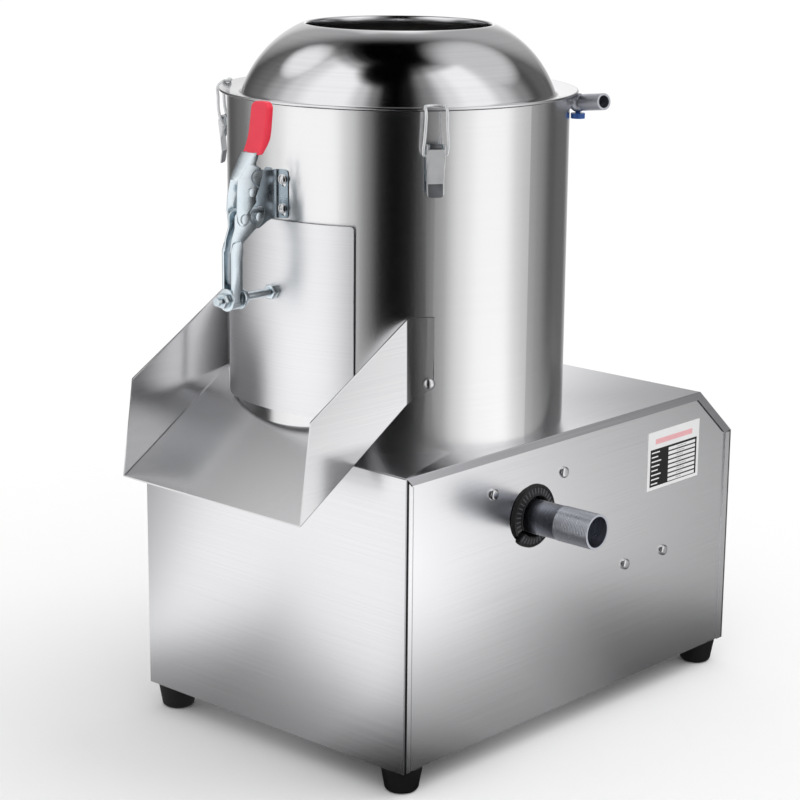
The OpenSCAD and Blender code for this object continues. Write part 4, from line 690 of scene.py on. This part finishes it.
clampOutlines = {  # corners as (y, z, radius)
    "web": [(-171.0, 523.4, 0), (-171.0, 567.6, 0), (-184.5, 568.2, 5), (-197.5, 561.8, 7), (-207.0, 553.0, 5),
            (-206.0, 543.5, 4), (-198.6, 540.2, 2), (-204.2, 531.5, 5), (-203.2, 519.0, 6), (-191.0, 515.4, 6),
            (-180.0, 521.0, 6)],
    "cheek": [(-185.4, 531.5, 5), (-186.6, 522.0, 6), (-199.0, 514.6, 8), (-213.3, 504.8, 3), (-215.4, 498.0, 0),
              (-228.4, 498.0, 0), (-226.5, 509.0, 8), (-222.4, 519.5, 6), (-222.0, 533.0, 6), (-213.0, 536.0, 4),
              (-195.0, 536.2, 6), (-187.0, 536.0, 4)],
    "strap": [(-193.6, 586.0, 1), (-198.6, 574.6, 3), (-191.5, 571.8, 4), (-187.6, 565.5, 5), (-193.5, 553.5, 3),
              (-198.8, 545.6, 3), (-198.0, 541.0, 2), (-206.2, 533.5, 4), (-206.4, 523.5, 6), (-213.5, 519.6, 7),
              (-220.0, 522.5, 6), (-221.8, 535.0, 12), (-221.0, 549.0, 12), (-218.6, 563.0, 4),
              (-201.6, 586.0, 1)],
    "rail": [(-228.5, 451.0, 0), (-228.5, 499.0, 6), (-225.4, 507.4, 4), (-215.4, 507.6, 3), (-214.2, 497.0, 6),
             (-215.5, 490.0, 6), (-215.5, 451.0, 0)],
    "face": [(-219.9, 562.6, 0), (-218.3, 563.6, 0), (-200.2, 586.0, 0), (-202.0, 586.0, 0)]}
clampRibs = {  # paths of the pressed stiffening ribs as (y, z)
    "leverRib": [(-190.8, 568.8), (-196.5, 569.6), (-201.6, 566.6), (-201.8, 561.6), (-197.6, 556.6),
                 (-194.6, 554.0)],
    "armRib": [(-188.0, 533.0), (-194.0, 533.6), (-201.0, 532.6), (-204.0, 528.6), (-202.6, 523.4),
               (-197.6, 520.4)]}


def waist(z):  # how far the lever is drawn in at its knee
    return 1.0 - clamp["kneeDepth"] * max(0.0, 1.0 - abs(z - clamp["knee"]) / clamp["kneeReach"])


def drawnIn(shape):
    for vert in shape.verts:
        vert.co.x *= waist(vert.co.z)
    return shape


def makeFlange():  # the plate on the drum beside the web, with its two slots
    d = clamp
    flange = bmesh.new()
    x0, x1 = d["web"][1] + d["flangeBend"], d["flangeHalf"]
    addBlock(flange, (x0, -d["wall"] - d["plate"], d["flangeLow"]), (x1, -d["wall"], d["flangeHigh"]))
    outer = [e for e in flange.edges if all(v.co.x > x1 - 0.1 for v in e.verts)
             and abs(e.verts[0].co.z - e.verts[1].co.z) < 0.1]
    bevelled(flange, outer, d["flangeCorner"], 5)
    wide, tall = d["slotSize"]
    cut(flange, 0, [d["slotAt"] - wide / 2.0, d["slotAt"] + wide / 2.0])
    cut(flange, 2, [z + v for z in d["slots"] for v in (-tall / 2.0, tall / 2.0)])
    for z in d["slots"]:
        hole = [f for f in flange.faces if abs(f.calc_center_median().x - d["slotAt"]) < 0.5
                and abs(f.calc_center_median().z - z) < 0.5 and abs(f.normal.y) > 0.9]
        rims = [list(f.edges) for f in hole]
        bmesh.ops.delete(flange, geom=hole, context="FACES_ONLY")
        bmesh.ops.bridge_loops(flange, edges=rims[0] + rims[1])
        ends = [e for e in flange.edges if abs(e.verts[0].co.y - e.verts[1].co.y) > 1.0
                and abs(abs(e.verts[0].co.x - d["slotAt"]) - wide / 2.0) < 0.05
                and abs(abs(e.verts[0].co.z - z) - tall / 2.0) < 0.05]
        bevelled(flange, ends, wide / 2.0 - 0.1, 5, clamp=True)
    return soften(facedOut(flange), 0.3, 2, 60.0)


def makeFlangeBend():  # the bend that joins the flange to the web
    d = clamp
    centre = (d["web"][1] + d["flangeBend"], d["wall"] + d["plate"] + d["flangeBend"])
    section = arc(centre, d["flangeBend"], -90.0, -180.0, 8)
    section += arc(centre, d["flangeBend"] + d["plate"], -180.0, -90.0, 8)
    bend = outline([(x, -y, d["flangeLow"]) for x, y in section])
    return facedOut(pushed(bend, (0, 0, d["flangeHigh"] - d["flangeLow"])))


def makeClampBase():
    d = clamp
    plates = [bothSides(outlinePlate, *d["web"], clampOutlines["web"])]
    for side in (-1.0, 1.0):
        for shape in (makeFlange(), makeFlangeBend()):
            for vert in shape.verts:  # follow the round wall
                x = vert.co.x
                vert.co.y += d["wall"] - math.sqrt(d["wall"] ** 2 - x * x)
                vert.co.x = x * side
            plates.append(shape)
    base = addPiece("clampBase", joined(*plates), "clampFlange", "machine", ["clamp_base"],
                    flatOver=20.0)
    base.visible_glossy = False  # the drum doesn't mirror it


def makeClampArm():
    d = clamp
    cheeks = bothSides(outlinePlate, *d["cheek"], clampOutlines["cheek"], edge=0.5)
    rails = bothSides(outlinePlate, *d["rail"], clampOutlines["rail"], edge=0.7)
    nose, low = bmesh.new(), d["railLow"]  # the round end of the rails
    addRod(nose, (0.0, d["railFront"], low), (0.0, d["railBack"], low), d["rail"][1], 40)
    bmesh.ops.bisect_plane(nose, geom=everything(nose), plane_co=(0, 0, low), plane_no=(0, 0, 1), clear_outer=True)
    soften(filled(nose), 0.7, 2, 50.0)
    addPiece("clampArm", joined(cheeks, rails, nose), "zincPlate", "door_arm", ["clamp_arm"],
             flatOver=20.0)


def makeClampLever():
    d = clamp
    x0, x1 = d["strap"]
    straps = [outlinePlate(clampOutlines["strap"], a, b, edge=0) for a, b in ((x0, x1), (-x1, -x0))]
    for strap in straps:
        cut(strap, 2, d["strapCuts"])
        soften(strap, 0.5, 2, 60.0)
    # the face plate that joins both straps above the knee
    face = outlinePlate(clampOutlines["face"], -x1 + 0.05, x1 - 0.05, edge=0)
    cut(face, 2, d["faceCuts"])
    soften(face, 0.35, 2, 60.0)
    tang = [hullPlate([(*a, d["tangRound"]), (*b, d["tangRound"])], -d["tangHalf"], d["tangHalf"], 0)
            for a, b in zip(d["tang"], d["tang"][1:])]
    lever = joined(drawnIn(joined(*straps, face)), *tang)
    handle = addPiece("clampLever", lever, "zincPlate", "lever", ["clamp_lever"], flatOver=20.0)
    handle.visible_glossy = False  # the drum doesn't mirror it
    for name, body, x in (("leverRib", "lever", x1), ("armRib", "door_arm", d["cheek"][1])):
        for side in (-1.0, 1.0):
            curl = [(side * (x * (waist(z) if body == "lever" else 1.0) - 0.1), y, z) for y, z in clampRibs[name]]
            hand = "Right" if side > 0 else "Left"
            addWire(name + hand, curl, d["ribRadius"], "zincShade", body)


gripShape = {"half": 10.6, "thick": 8.0, "corner": 6.5, "round": 2.4, "step": 2.0,
             # rows of height, front and back
             "profile": [(584.0, -198.2, -192.8), (588.0, -196.4, -189.4), (592.0, -194.4, -186.0),
                         (597.0, -192.4, -182.8), (604.0, -190.6, -181.2), (611.0, -189.4, -180.4),
                         (620.0, -188.0, -179.4), (630.8, -186.6, -178.6)]}


def makeGrip():
    g = gripShape
    rows, step = g["profile"], g["step"]
    low, high, half = rows[0][0], rows[-1][0], g["thick"] / 2.0
    grip = bmesh.new()
    addBlock(grip, (-g["half"], -half, low), (g["half"], half, high))
    top = [e for e in grip.edges if abs(e.verts[0].co.y - e.verts[1].co.y) > 1.0 and e.verts[0].co.z > low + 1.0]
    bevelled(grip, top, g["corner"], 6)
    cut(grip, 2, [low + step * i for i in range(1, int((high - low) / step))])
    soften(grip, g["round"], 5, 50.0)
    for vert in grip.verts:
        z = min(high, max(low, vert.co.z))
        i = next(i for i in range(1, len(rows)) if z <= rows[i][0])
        (z0, f0, b0), (z1, f1, b1) = rows[i - 1], rows[i]
        t = (z - z0) / (z1 - z0)
        front, back = f0 + (f1 - f0) * t, b0 + (b1 - b0) * t
        vert.co.y = (front + back) / 2.0 + vert.co.y / half * (back - front) / 2.0
    sleeve = addPiece("redGripSleeve", grip, "redGrip", "lever", ["red_grip"], 50.0)
    sleeve.visible_glossy = False  # the drum doesn't mirror it


def makeRivets():
    d = clamp
    for name, spot, x, radius, body, covers in (
            ("armPivotRivet", "armPivot", d["cheek"][1] + 0.05, 4.2, "machine", ["clamp_rivets"]),
            ("leverPivotRivet", "leverPivot", d["strap"][1] + 0.05, 4.6, "door_arm", ["arm_rivets"]),
            ("leverStud", "stud", d["strap"][1] * waist(d["stud"][1]) - 0.3, 4.2, "lever", ())):
        y, z = d[spot]
        pinFrom = 0.0 if spot == "armPivot" else d["cheek"][0] + 0.05
        rivets = []
        for side in (-1.0, 1.0):
            head = bmesh.new()
            addRod(head, (side * x, y, z), (side * (x + d["rivetHeight"]), y, z), radius, 32)
            soften(head, d["rivetRound"], 3, 50.0)
            if covers:
                addRod(head, (side * pinFrom, y, z), (side * x, y, z), d["pin"], 24)
            rivets.append(head)
        if spot == "armPivot":
            linkPin, half = bmesh.new(), d["web"][1] - 0.05
            addRod(linkPin, (-half, *d["linkPivot"]), (half, *d["linkPivot"]), d["pin"], 24)
            rivets.append(linkPin)
        addPiece(name, joined(*rivets), "zincPlate", body, covers)


def makeSpindleParts():
    for node, name, width in (("spindle_nuts", "spindleNuts", 0.7), ("spindle_washers", "spindleWashers", 0.5)):
        part = copyOf(node)
        soften(part, width, 3, 50.0, lambda e: e.calc_length() > 3.0 or node == "spindle_washers", False)
        addPiece(name, part, "zincPlate", "door_arm", [node], 30.0, 20.0)


makeClampBase()
makeClampArm()
makeClampLever()
makeGrip()
makeRivets()
makeSpindleParts()
stage("door clamp")

# Draw latches: lever plate with a lifted tab, rolled eye and wire loop, drawn facing the front
latch = {"turns": {"right": 53.4, "back": 176.7, "left": 300.0}, "half": 8.5, "ear": 1.2, "eyeHalf": 5.2,
         "eyeRadius": 2.7, "pivot": (-174.0, 595.0), "wireFoot": (-173.0, 588.0), "bar": (-170.0, 631.3),
         "plate": (-177.3, -178.5), "plateTop": 593.5, "plateLow": 562.0, "tabLow": 550.0, "tabOut": 1.8,
         "tipRound": 4.0, "narrow": 0.06, "border": 1.7, "lean": 3.0, "wire": 1.4,
         # the wire's right leg, each point as its reference, its x, and its steps in y and z from there
         "leg": [("wireFoot", 7.6, 0.0, 0.0), ("wireFoot", 10.2, 0.0, 0.0), ("wireFoot", 11.0, -1.2, 3.0),
                 ("pivot", 10.6, -3.2, 9.0), ("pivot", 9.9, -3.7, 20.0), ("pivot", 9.7, -3.7, 31.0),
                 ("bar", 9.5, -3.6, -1.0), ("bar", 9.2, -2.0, 0.0), ("bar", 8.0, 0.0, 0.1)]}


def makeLatch(side, turn):
    d = latch
    (inner, outer), half, border = d["plate"], d["half"], d["half"] - d["border"]
    foot, tip = d["lean"], d["lean"] - d["tabOut"]  # the plate leans in towards the drum, its tab back out
    knee = d["plateLow"] + 0.2
    bent = [(inner, d["plateTop"]), (inner + foot, knee), (inner + tip, d["tabLow"]),
            (outer + tip, d["tabLow"]), (outer + foot, knee), (outer, d["plateTop"])]
    plate = pushed(outline([(-half, y, z) for y, z in bent]), (2 * half, 0, 0))
    tips = [e for e in plate.edges if all(v.co.z < d["tabLow"] + 0.1 for v in e.verts)
            and abs(e.verts[0].co.x - e.verts[1].co.x) < 0.1]
    bevelled(plate, tips, d["tipRound"], 6)
    for vert in plate.verts:  # a little narrower towards the tab
        down = (d["plateTop"] - vert.co.z) / (d["plateTop"] - d["plateLow"])
        vert.co.x *= 1.0 - d["narrow"] * min(1.0, max(0.0, down))
    soften(plate, 0.3, 2, 50.0)
    cut(plate, 0, [-border, border])
    # painted shade: the tab's middle, between its bright edges, is coloured a dull grey
    for face in plate.faces:
        spot = face.calc_center_median()
        if spot.z < d["plateLow"] and abs(spot.x) < border and abs(face.normal.y) > 0.5:
            face.material_index = 1
    wraps = [(*d["pivot"], 3.0), (*d["wireFoot"], 2.4), (inner, 590.0, 1.1), (inner + 0.5 * d["lean"], 576.0, 0.9)]
    ears = bothSides(hullPlate, half - d["ear"], half, wraps, edge=0.3)
    eye = bmesh.new()
    addRod(eye, (-d["eyeHalf"], *d["pivot"]), (d["eyeHalf"], *d["pivot"]), d["eyeRadius"], 28)
    soften(eye, 0.5, 2, 50.0)
    # painted shade: the rolled eye is coloured dull grey, for the shade in its hollow roll
    for face in eye.faces:
        face.material_index = 1
    addPiece("latchLever" + side.capitalize(), joined(plate, ears, eye), ["latchSteel", "latchTabShade"],
             "latch_" + side, ["latch_lever_" + side], 35.0, 25.0, turn)
    leg = [(x, d[spot][0] + out, d[spot][1] + up) for spot, x, out, up in d["leg"]]
    path = [(-x, y, z) for x, y, z in leg] + leg[::-1]
    addWire("latchWire" + side.capitalize(), path, d["wire"], "wireSteel", "wire_" + side,
            ["latch_wire_" + side], turn)


for side, turn in latch["turns"].items():
    makeLatch(side, turn)
stage("latches")

# Drain: split rubber ring with ribs, the pipe and the rim at its end
drainRing = {"at": (172.55, 0.0, 237.0), "inner": 20.0, "outer": 30.9, "gap": 14.0, "splitAt": 215.0,
             "springTurn": 0.6, "springOut": 0.05, "ribs": 34, "ribHalf": 0.5, "ribLow": 6.0, "ribHigh": 9.1,
             "ribSlope": 0.12, "pipeEnd": 255.0, "pipeOut": 17.1, "pipeIn": 14.8, "rimRound": 0.95,
             "swell": 1.14, "swellFrom": 173.0, "swellTo": 175.5}


def makeCollar():
    d = drainRing
    inner, outer, rib = d["inner"], d["outer"], d["ribHalf"]
    section = [(inner, 0.0), (inner + 4.0, 0.0), (inner + 5.0, 3.2), (outer - 1.2, 3.0), (outer, 4.2), (outer, 7.2),
               (outer - 0.6, 8.1), (outer - 2.2, 8.5), (outer - 3.0, 7.4), (inner + 2.0, 8.4), (inner + 1.4, 9.6),
               (inner + 0.6, 9.9), (inner, 9.4)]
    ring = spun(section, 70, 360.0 - d["gap"])
    for i in range(d["ribs"]):
        verts = addBlock(ring, (inner + 2.2, -rib, d["ribLow"]), (outer - 3.2, rib, d["ribHigh"]))
        for vert in verts:  # the ribs slope with the collar
            vert.co.z -= (vert.co.x - inner) * d["ribSlope"]
            for face in vert.link_faces:
                face.material_index = 1
        turned(ring, (i + 0.5) * (360.0 - d["gap"]) / d["ribs"], verts=verts)
    turned(ring, d["splitAt"] + d["gap"] / 2.0)
    for vert in ring.verts:  # the free end below the split stands a little outwards
        off = (math.atan2(vert.co.y, vert.co.x) - math.radians(d["splitAt"])) % (2.0 * math.pi)
        if off < d["springTurn"]:
            vert.co.xy *= 1.0 + d["springOut"] * (1.0 - off / d["springTurn"])
    upended = Matrix(((0, 0, 1, 0), (1, 0, 0, 0), (0, 1, 0, 0), (0, 0, 0, 1)))
    placed(ring, Matrix.Translation(d["at"]) @ upended)
    collar = addPiece("drainCollar", ring, ["blackRubber", "rubberRib"], "machine", ["drain_ring"])
    collar.visible_glossy = False  # the panel doesn't mirror it


def makePipe():
    d = drainRing
    pipe = copyOf("drain_pipe")
    cut(pipe, 0, [d["swellFrom"], d["swellTo"]])
    for vert in pipe.verts:  # full bore outside the cabinet
        if vert.co.x > d["swellTo"] - 0.1:
            vert.co.y *= d["swell"]
            vert.co.z = d["at"][2] + (vert.co.z - d["at"][2]) * d["swell"]
    addPiece("drainPipe", pipe, "pipeSteel", "machine", ["drain_pipe"])
    middle = ((d["pipeOut"] + d["pipeIn"]) / 2.0 - 0.05, 0.0)
    rim = turned(spun(arc(middle, d["rimRound"], 0.0, 360.0, 12)[:-1], 64), 90.0, "Y")
    bmesh.ops.translate(rim, vec=(d["pipeEnd"] - d["rimRound"], 0.0, d["at"][2]), verts=rim.verts[:])
    addPiece("pipeEndRim", rim, "pipeRim", "machine", (), 60.0)


makeCollar()
makePipe()
stage("drain")

# Data plate: framed blank fields, no lettering
dataPlate = {"face": 173.1, "back": 172.52, "y": (190.0, 279.0), "z": (218.9, 279.9), "rows": 8,
             "rowFrom": 0.07, "rowStep": 0.077, "vary": 0.03,
             # fields as fractions across and up, with the number of their finish
             "fields": [(0.05, 0.955, 0.055, 0.7, 1), (0.14, 0.86, 0.78, 0.87, 2)],
             # the same in each row, up from its foot; the last two numbers vary the field's length
             "rowFields": [(0.075, 0.2, 0.022, 0.044, 0, 1, 3), (0.4, 0.925, 0.0, 0.053, 0, 0, 1),
                           (0.56, 0.66, 0.02, 0.034, 3, 5, 4)]}


def makeDataPlate():
    d = dataPlate
    (y0, y1), (z0, z1) = d["y"], d["z"]
    fields = list(d["fields"])
    for row in range(d["rows"]):
        low = d["rowFrom"] + row * d["rowStep"]
        for a0, a1, b0, b1, number, step, count in d["rowFields"]:
            fields.append((a0, a1 + d["vary"] * (row * step % count), low + b0, low + b1, number))
    plate = bmesh.new()
    addBlock(plate, (d["back"], y0, z0), (d["face"], y1, z1))
    cut(plate, 1, [y0 + (y1 - y0) * f for f in sorted({f[i] for f in fields for i in (0, 1)})])
    cut(plate, 2, [z0 + (z1 - z0) * f for f in sorted({f[i] for f in fields for i in (2, 3)})])
    for face in plate.faces:
        middle = face.calc_center_median()
        across, up = (middle.y - y0) / (y1 - y0), (middle.z - z0) / (z1 - z0)
        if middle.x > d["face"] - 0.01:
            for a0, a1, b0, b1, number in fields:
                if a0 < across < a1 and b0 < up < b1:
                    face.material_index = number
    addPiece("dataPlateBlank", plate, ["platePrint", "plateBlack", "platePink", "plateGrey"], "machine",
             ["data_plate"], flatOver=0.0)


makeDataPlate()
stage("data plate")

# Studio: floor, the tent that polished metal mirrors, world and two lamps
studio = {
    "floorRadius": 16.0, "floorColour": "#d9d9d9", "tentRadius": 1.5, "tentUp": 0.4, "worldLevel": 0.74,
    "glow": 1.1,
    "lamps": [("keyLamp", (-38.0, 0.0, -35.0), 0.75, 50.0), ("fillLamp", (50.0, 0.0, 60.0), 0.45, 70.0)],
    # the tent's level by azimuth from the front towards the right, then by height as a share of the way up
    "around": [(-180, 0.13), (-171, 0.11), (-160, 0.42), (-142, 1.0), (-124, 0.7), (-104, 0.08), (-78, 0.16),
               (-61, 0.38), (-45, 0.72), (-26, 1.0), (0, 1.0), (13, 0.62), (23, 0.2), (31, 0.004), (40, 0.0),
               (51, 0.008), (66, 0.24), (83, 0.78), (96, 1.0), (113, 1.0), (126, 0.65), (146, 0.26), (161, 0.08),
               (172, 0.12)],
    "upward": [(0.0, 1.0), (0.689, 1.0), (0.756, 0.4), (0.789, 0.15), (0.811, 0.03), (0.856, 0.0), (1.0, 0.0)],
    # the floor's level by azimuth, then by distance from the machine in metres
    "floorAround": [(-180, 0.15), (-168, 0.25), (-150, 1.0), (-118, 1.0), (-104, 0.1), (-78, 0.16), (-66, 0.5),
                    (-56, 1.0), (4, 1.0), (13, 0.62), (23, 0.2), (31, 0.004), (40, 0.0), (51, 0.008), (66, 0.24),
                    (80, 0.7), (92, 1.04), (116, 1.16), (127, 0.9), (138, 0.5), (150, 0.34), (166, 0.3)],
    "floorShade": [(0.0, 0.18), (0.07, 0.23), (0.15, 0.33), (0.2, 0.49), (0.28, 0.84), (0.36, 0.97), (0.6, 1.0)],
    # the machine's outline on the floor in metres: middle, half size, and how and from where its sides slant
    "shadeX": (0.0, 0.174, -0.25, 0.02), "shadeY": (0.08, 0.257, 0.25, -0.086),
    # round patches of the tent: azimuth, height, inner and outer radius in degrees, and a soft box's level
    "softBoxes": [(-140.0, 40.0, 22.0, 42.0, 0.42), (-67.0, 50.0, 6.0, 18.0, 0.9),
                  (142.0, 56.0, 12.0, 28.0, 0.62)],
    "flags": [(25.0, 66.0, 8.0, 16.0)]}


def linkStage(name, mesh):
    thing = bpy.data.objects.new(name, mesh)
    scene.collection.objects.link(thing)
    return thing


def makeFloor():
    disc = bmesh.new()
    bmesh.ops.create_circle(disc, cap_ends=True, segments=96, radius=studio["floorRadius"])
    mesh = meshFrom(disc, "floor")
    material, tree, shader = newMaterial("paleFloor", studio["floorColour"], 0.0, 0.9)
    path = addNode(tree, "LightPath")
    seen = addNode(tree, "Math", {0: path.outputs["Is Camera Ray"], 1: path.outputs["Is Transmission Ray"]},
                   operation="MAXIMUM")
    tone = mixColours(tree, seen.outputs[0], studio["floorColour"], "#ffffff")
    tree.links.new(tone, shader.inputs["Base Color"])
    shader.inputs["Specular IOR Level"].default_value = 0.0
    # painted shade: polished metal sees a glowing floor that grows darker towards the machine, as in its own shade
    place = objectPattern(tree, move=tuple(-0.001 * v for v in drumAxis))
    axes = addNode(tree, "SeparateXYZ", {"Vector": place})

    def away(near, far, middle, half, slant, start):
        off = addNode(tree, "Math", {0: axes.outputs[near], 1: -middle}, operation="ADD")
        off = addNode(tree, "Math", {0: off.outputs[0]}, operation="ABSOLUTE")
        lean = addNode(tree, "Math", {0: axes.outputs[far], 1: slant, 2: -half - slant * start},
                       operation="MULTIPLY_ADD")
        return addNode(tree, "Math", {0: off.outputs[0], 1: lean.outputs[0]}, operation="ADD").outputs[0]

    reach = addNode(tree, "Math", {0: away("X", "Y", *studio["shadeX"]), 1: away("Y", "X", *studio["shadeY"])},
                    operation="MAXIMUM")
    glow = addNode(tree, "Math", {0: ramp(tree, reach.outputs[0], studio["floorShade"]),
                                  1: ramp(tree, turnAbout(tree, axes), asTurns(studio["floorAround"]))},
                   operation="MULTIPLY")
    glow = addNode(tree, "Emission", {"Color": glow.outputs[0], "Strength": studio["glow"]})
    mix = addNode(tree, "MixShader", {0: path.outputs["Is Glossy Ray"], 1: shader.outputs[0], 2: glow.outputs[0]})
    tree.links.new(mix.outputs[0], tree.nodes["Material Output"].inputs["Surface"])
    material.cycles.emission_sampling = "NONE"
    mesh.materials.append(material)
    linkStage("floor", mesh)


def turnAbout(tree, axes):  # turn round the drum: 0 behind, 0.25 on the left, 0.5 in front, 0.75 on the right
    back = addNode(tree, "Math", {0: axes.outputs["Y"], 1: -1.0}, operation="MULTIPLY")
    angle = addNode(tree, "Math", {0: axes.outputs["X"], 1: back.outputs[0]}, operation="ARCTAN2")
    return remap(tree, angle.outputs[0], 0.0, 1.0, -math.pi, math.pi)


def asTurns(stops):  # azimuths as such turns
    return [((azimuth + 180.0) / 360.0, level) for azimuth, level in stops]


def ramp(tree, factor, stops):
    node = addNode(tree, "ValToRGB", {"Fac": factor})
    band = node.color_ramp
    band.interpolation = "EASE"
    for i, (place, level) in enumerate(stops):
        stop = band.elements[i] if i < 2 else band.elements.new(place)
        stop.position = place
        stop.color = (level, level, level, 1.0)
    return node.outputs["Color"]


# A studio tent of soft boxes and dark flags, which only polished surfaces see
def makeTent():
    ball, up = bmesh.new(), studio["tentUp"]
    bmesh.ops.create_uvsphere(ball, u_segments=64, v_segments=32, radius=studio["tentRadius"])
    bmesh.ops.bisect_plane(ball, geom=everything(ball), plane_co=(0, 0, 0.001 - up), plane_no=(0, 0, -1),
                           clear_outer=True)
    centre = (drumAxis.x * 0.001, drumAxis.y * 0.001, up)
    mesh = meshFrom(placed(ball, Matrix.Translation(centre)), "studioTent")
    material = bpy.data.materials.new("tentCloth")
    material.use_nodes = True
    tree = material.node_tree
    tree.nodes.clear()
    place = objectPattern(tree, move=tuple(-v for v in centre))
    axes = addNode(tree, "SeparateXYZ", {"Vector": place})
    rise = addNode(tree, "Math", {0: axes.outputs["Z"], 1: studio["tentRadius"]}, operation="DIVIDE")
    rise = addNode(tree, "Math", {0: rise.outputs[0]}, operation="ARCSINE")
    height = remap(tree, rise.outputs[0], 0.0, 1.0, 0.0, math.pi / 2.0)
    level = addNode(tree, "Math", {0: ramp(tree, turnAbout(tree, axes), asTurns(studio["around"])),
                                   1: ramp(tree, height, studio["upward"])}, operation="MULTIPLY")

    def disc(azimuth, height, inner, outer):  # 1 inside a round patch of the tent, 0 outside it
        a, h = math.radians(azimuth), math.radians(height)
        at = Vector((math.sin(a) * math.cos(h), -math.cos(a) * math.cos(h), math.sin(h))) / studio["tentRadius"]
        toward = addNode(tree, "VectorMath", {0: place, 1: tuple(at)}, operation="DOT_PRODUCT")
        edges = {"From Min": math.cos(math.radians(outer)), "From Max": math.cos(math.radians(inner))}
        return addNode(tree, "MapRange", {"Value": toward.outputs["Value"], **edges},
                       interpolation_type="SMOOTHSTEP").outputs["Result"]

    for *where, bright in studio["softBoxes"]:
        box = addNode(tree, "Math", {0: disc(*where), 1: bright}, operation="MULTIPLY")
        level = addNode(tree, "Math", {0: level.outputs[0], 1: box.outputs[0]}, operation="MAXIMUM")
    for where in studio["flags"]:
        clear = addNode(tree, "Math", {0: 1.0, 1: disc(*where)}, operation="SUBTRACT")
        level = addNode(tree, "Math", {0: level.outputs[0], 1: clear.outputs[0]}, operation="MULTIPLY")
    glow = addNode(tree, "Emission", {"Color": level.outputs[0], "Strength": studio["glow"]})
    addNode(tree, "OutputMaterial", {"Surface": glow.outputs[0]})
    material.cycles.emission_sampling = "NONE"
    mesh.materials.append(material)
    tent = linkStage("studioTent", mesh)
    tent.visible_camera = tent.visible_diffuse = tent.visible_transmission = tent.visible_shadow = False


def makeWorld():
    world = bpy.data.worlds.new("studioWorld")
    world.use_nodes = True
    scene.world = world
    tree = world.node_tree
    tree.nodes.clear()
    path = addNode(tree, "LightPath")
    seen = addNode(tree, "Math", {0: path.outputs["Is Camera Ray"], 1: path.outputs["Is Glossy Ray"]},
                   operation="MAXIMUM")
    seen = addNode(tree, "Math", {0: seen.outputs[0], 1: path.outputs["Is Transmission Ray"]}, operation="MAXIMUM")
    strength = addNode(tree, "MapRange", {"Value": seen.outputs[0], "To Min": studio["worldLevel"], "To Max": 1.0})
    white = addNode(tree, "Background", {"Color": (1, 1, 1, 1), "Strength": strength.outputs["Result"]})
    addNode(tree, "OutputWorld", {"Surface": white.outputs[0]})


def makeLamps():
    for name, turns, strength, spread in studio["lamps"]:
        data = bpy.data.lights.new(name, "SUN")
        data.energy = strength
        data.angle = math.radians(spread)
        lamp = bpy.data.objects.new(name, data)
        lamp.rotation_euler = [math.radians(a) for a in turns]
        lamp.visible_glossy = False
        scene.collection.objects.link(lamp)


makeFloor()
makeTent()
makeWorld()
makeLamps()
scene.view_settings.view_transform = "Standard"
stage("studio")
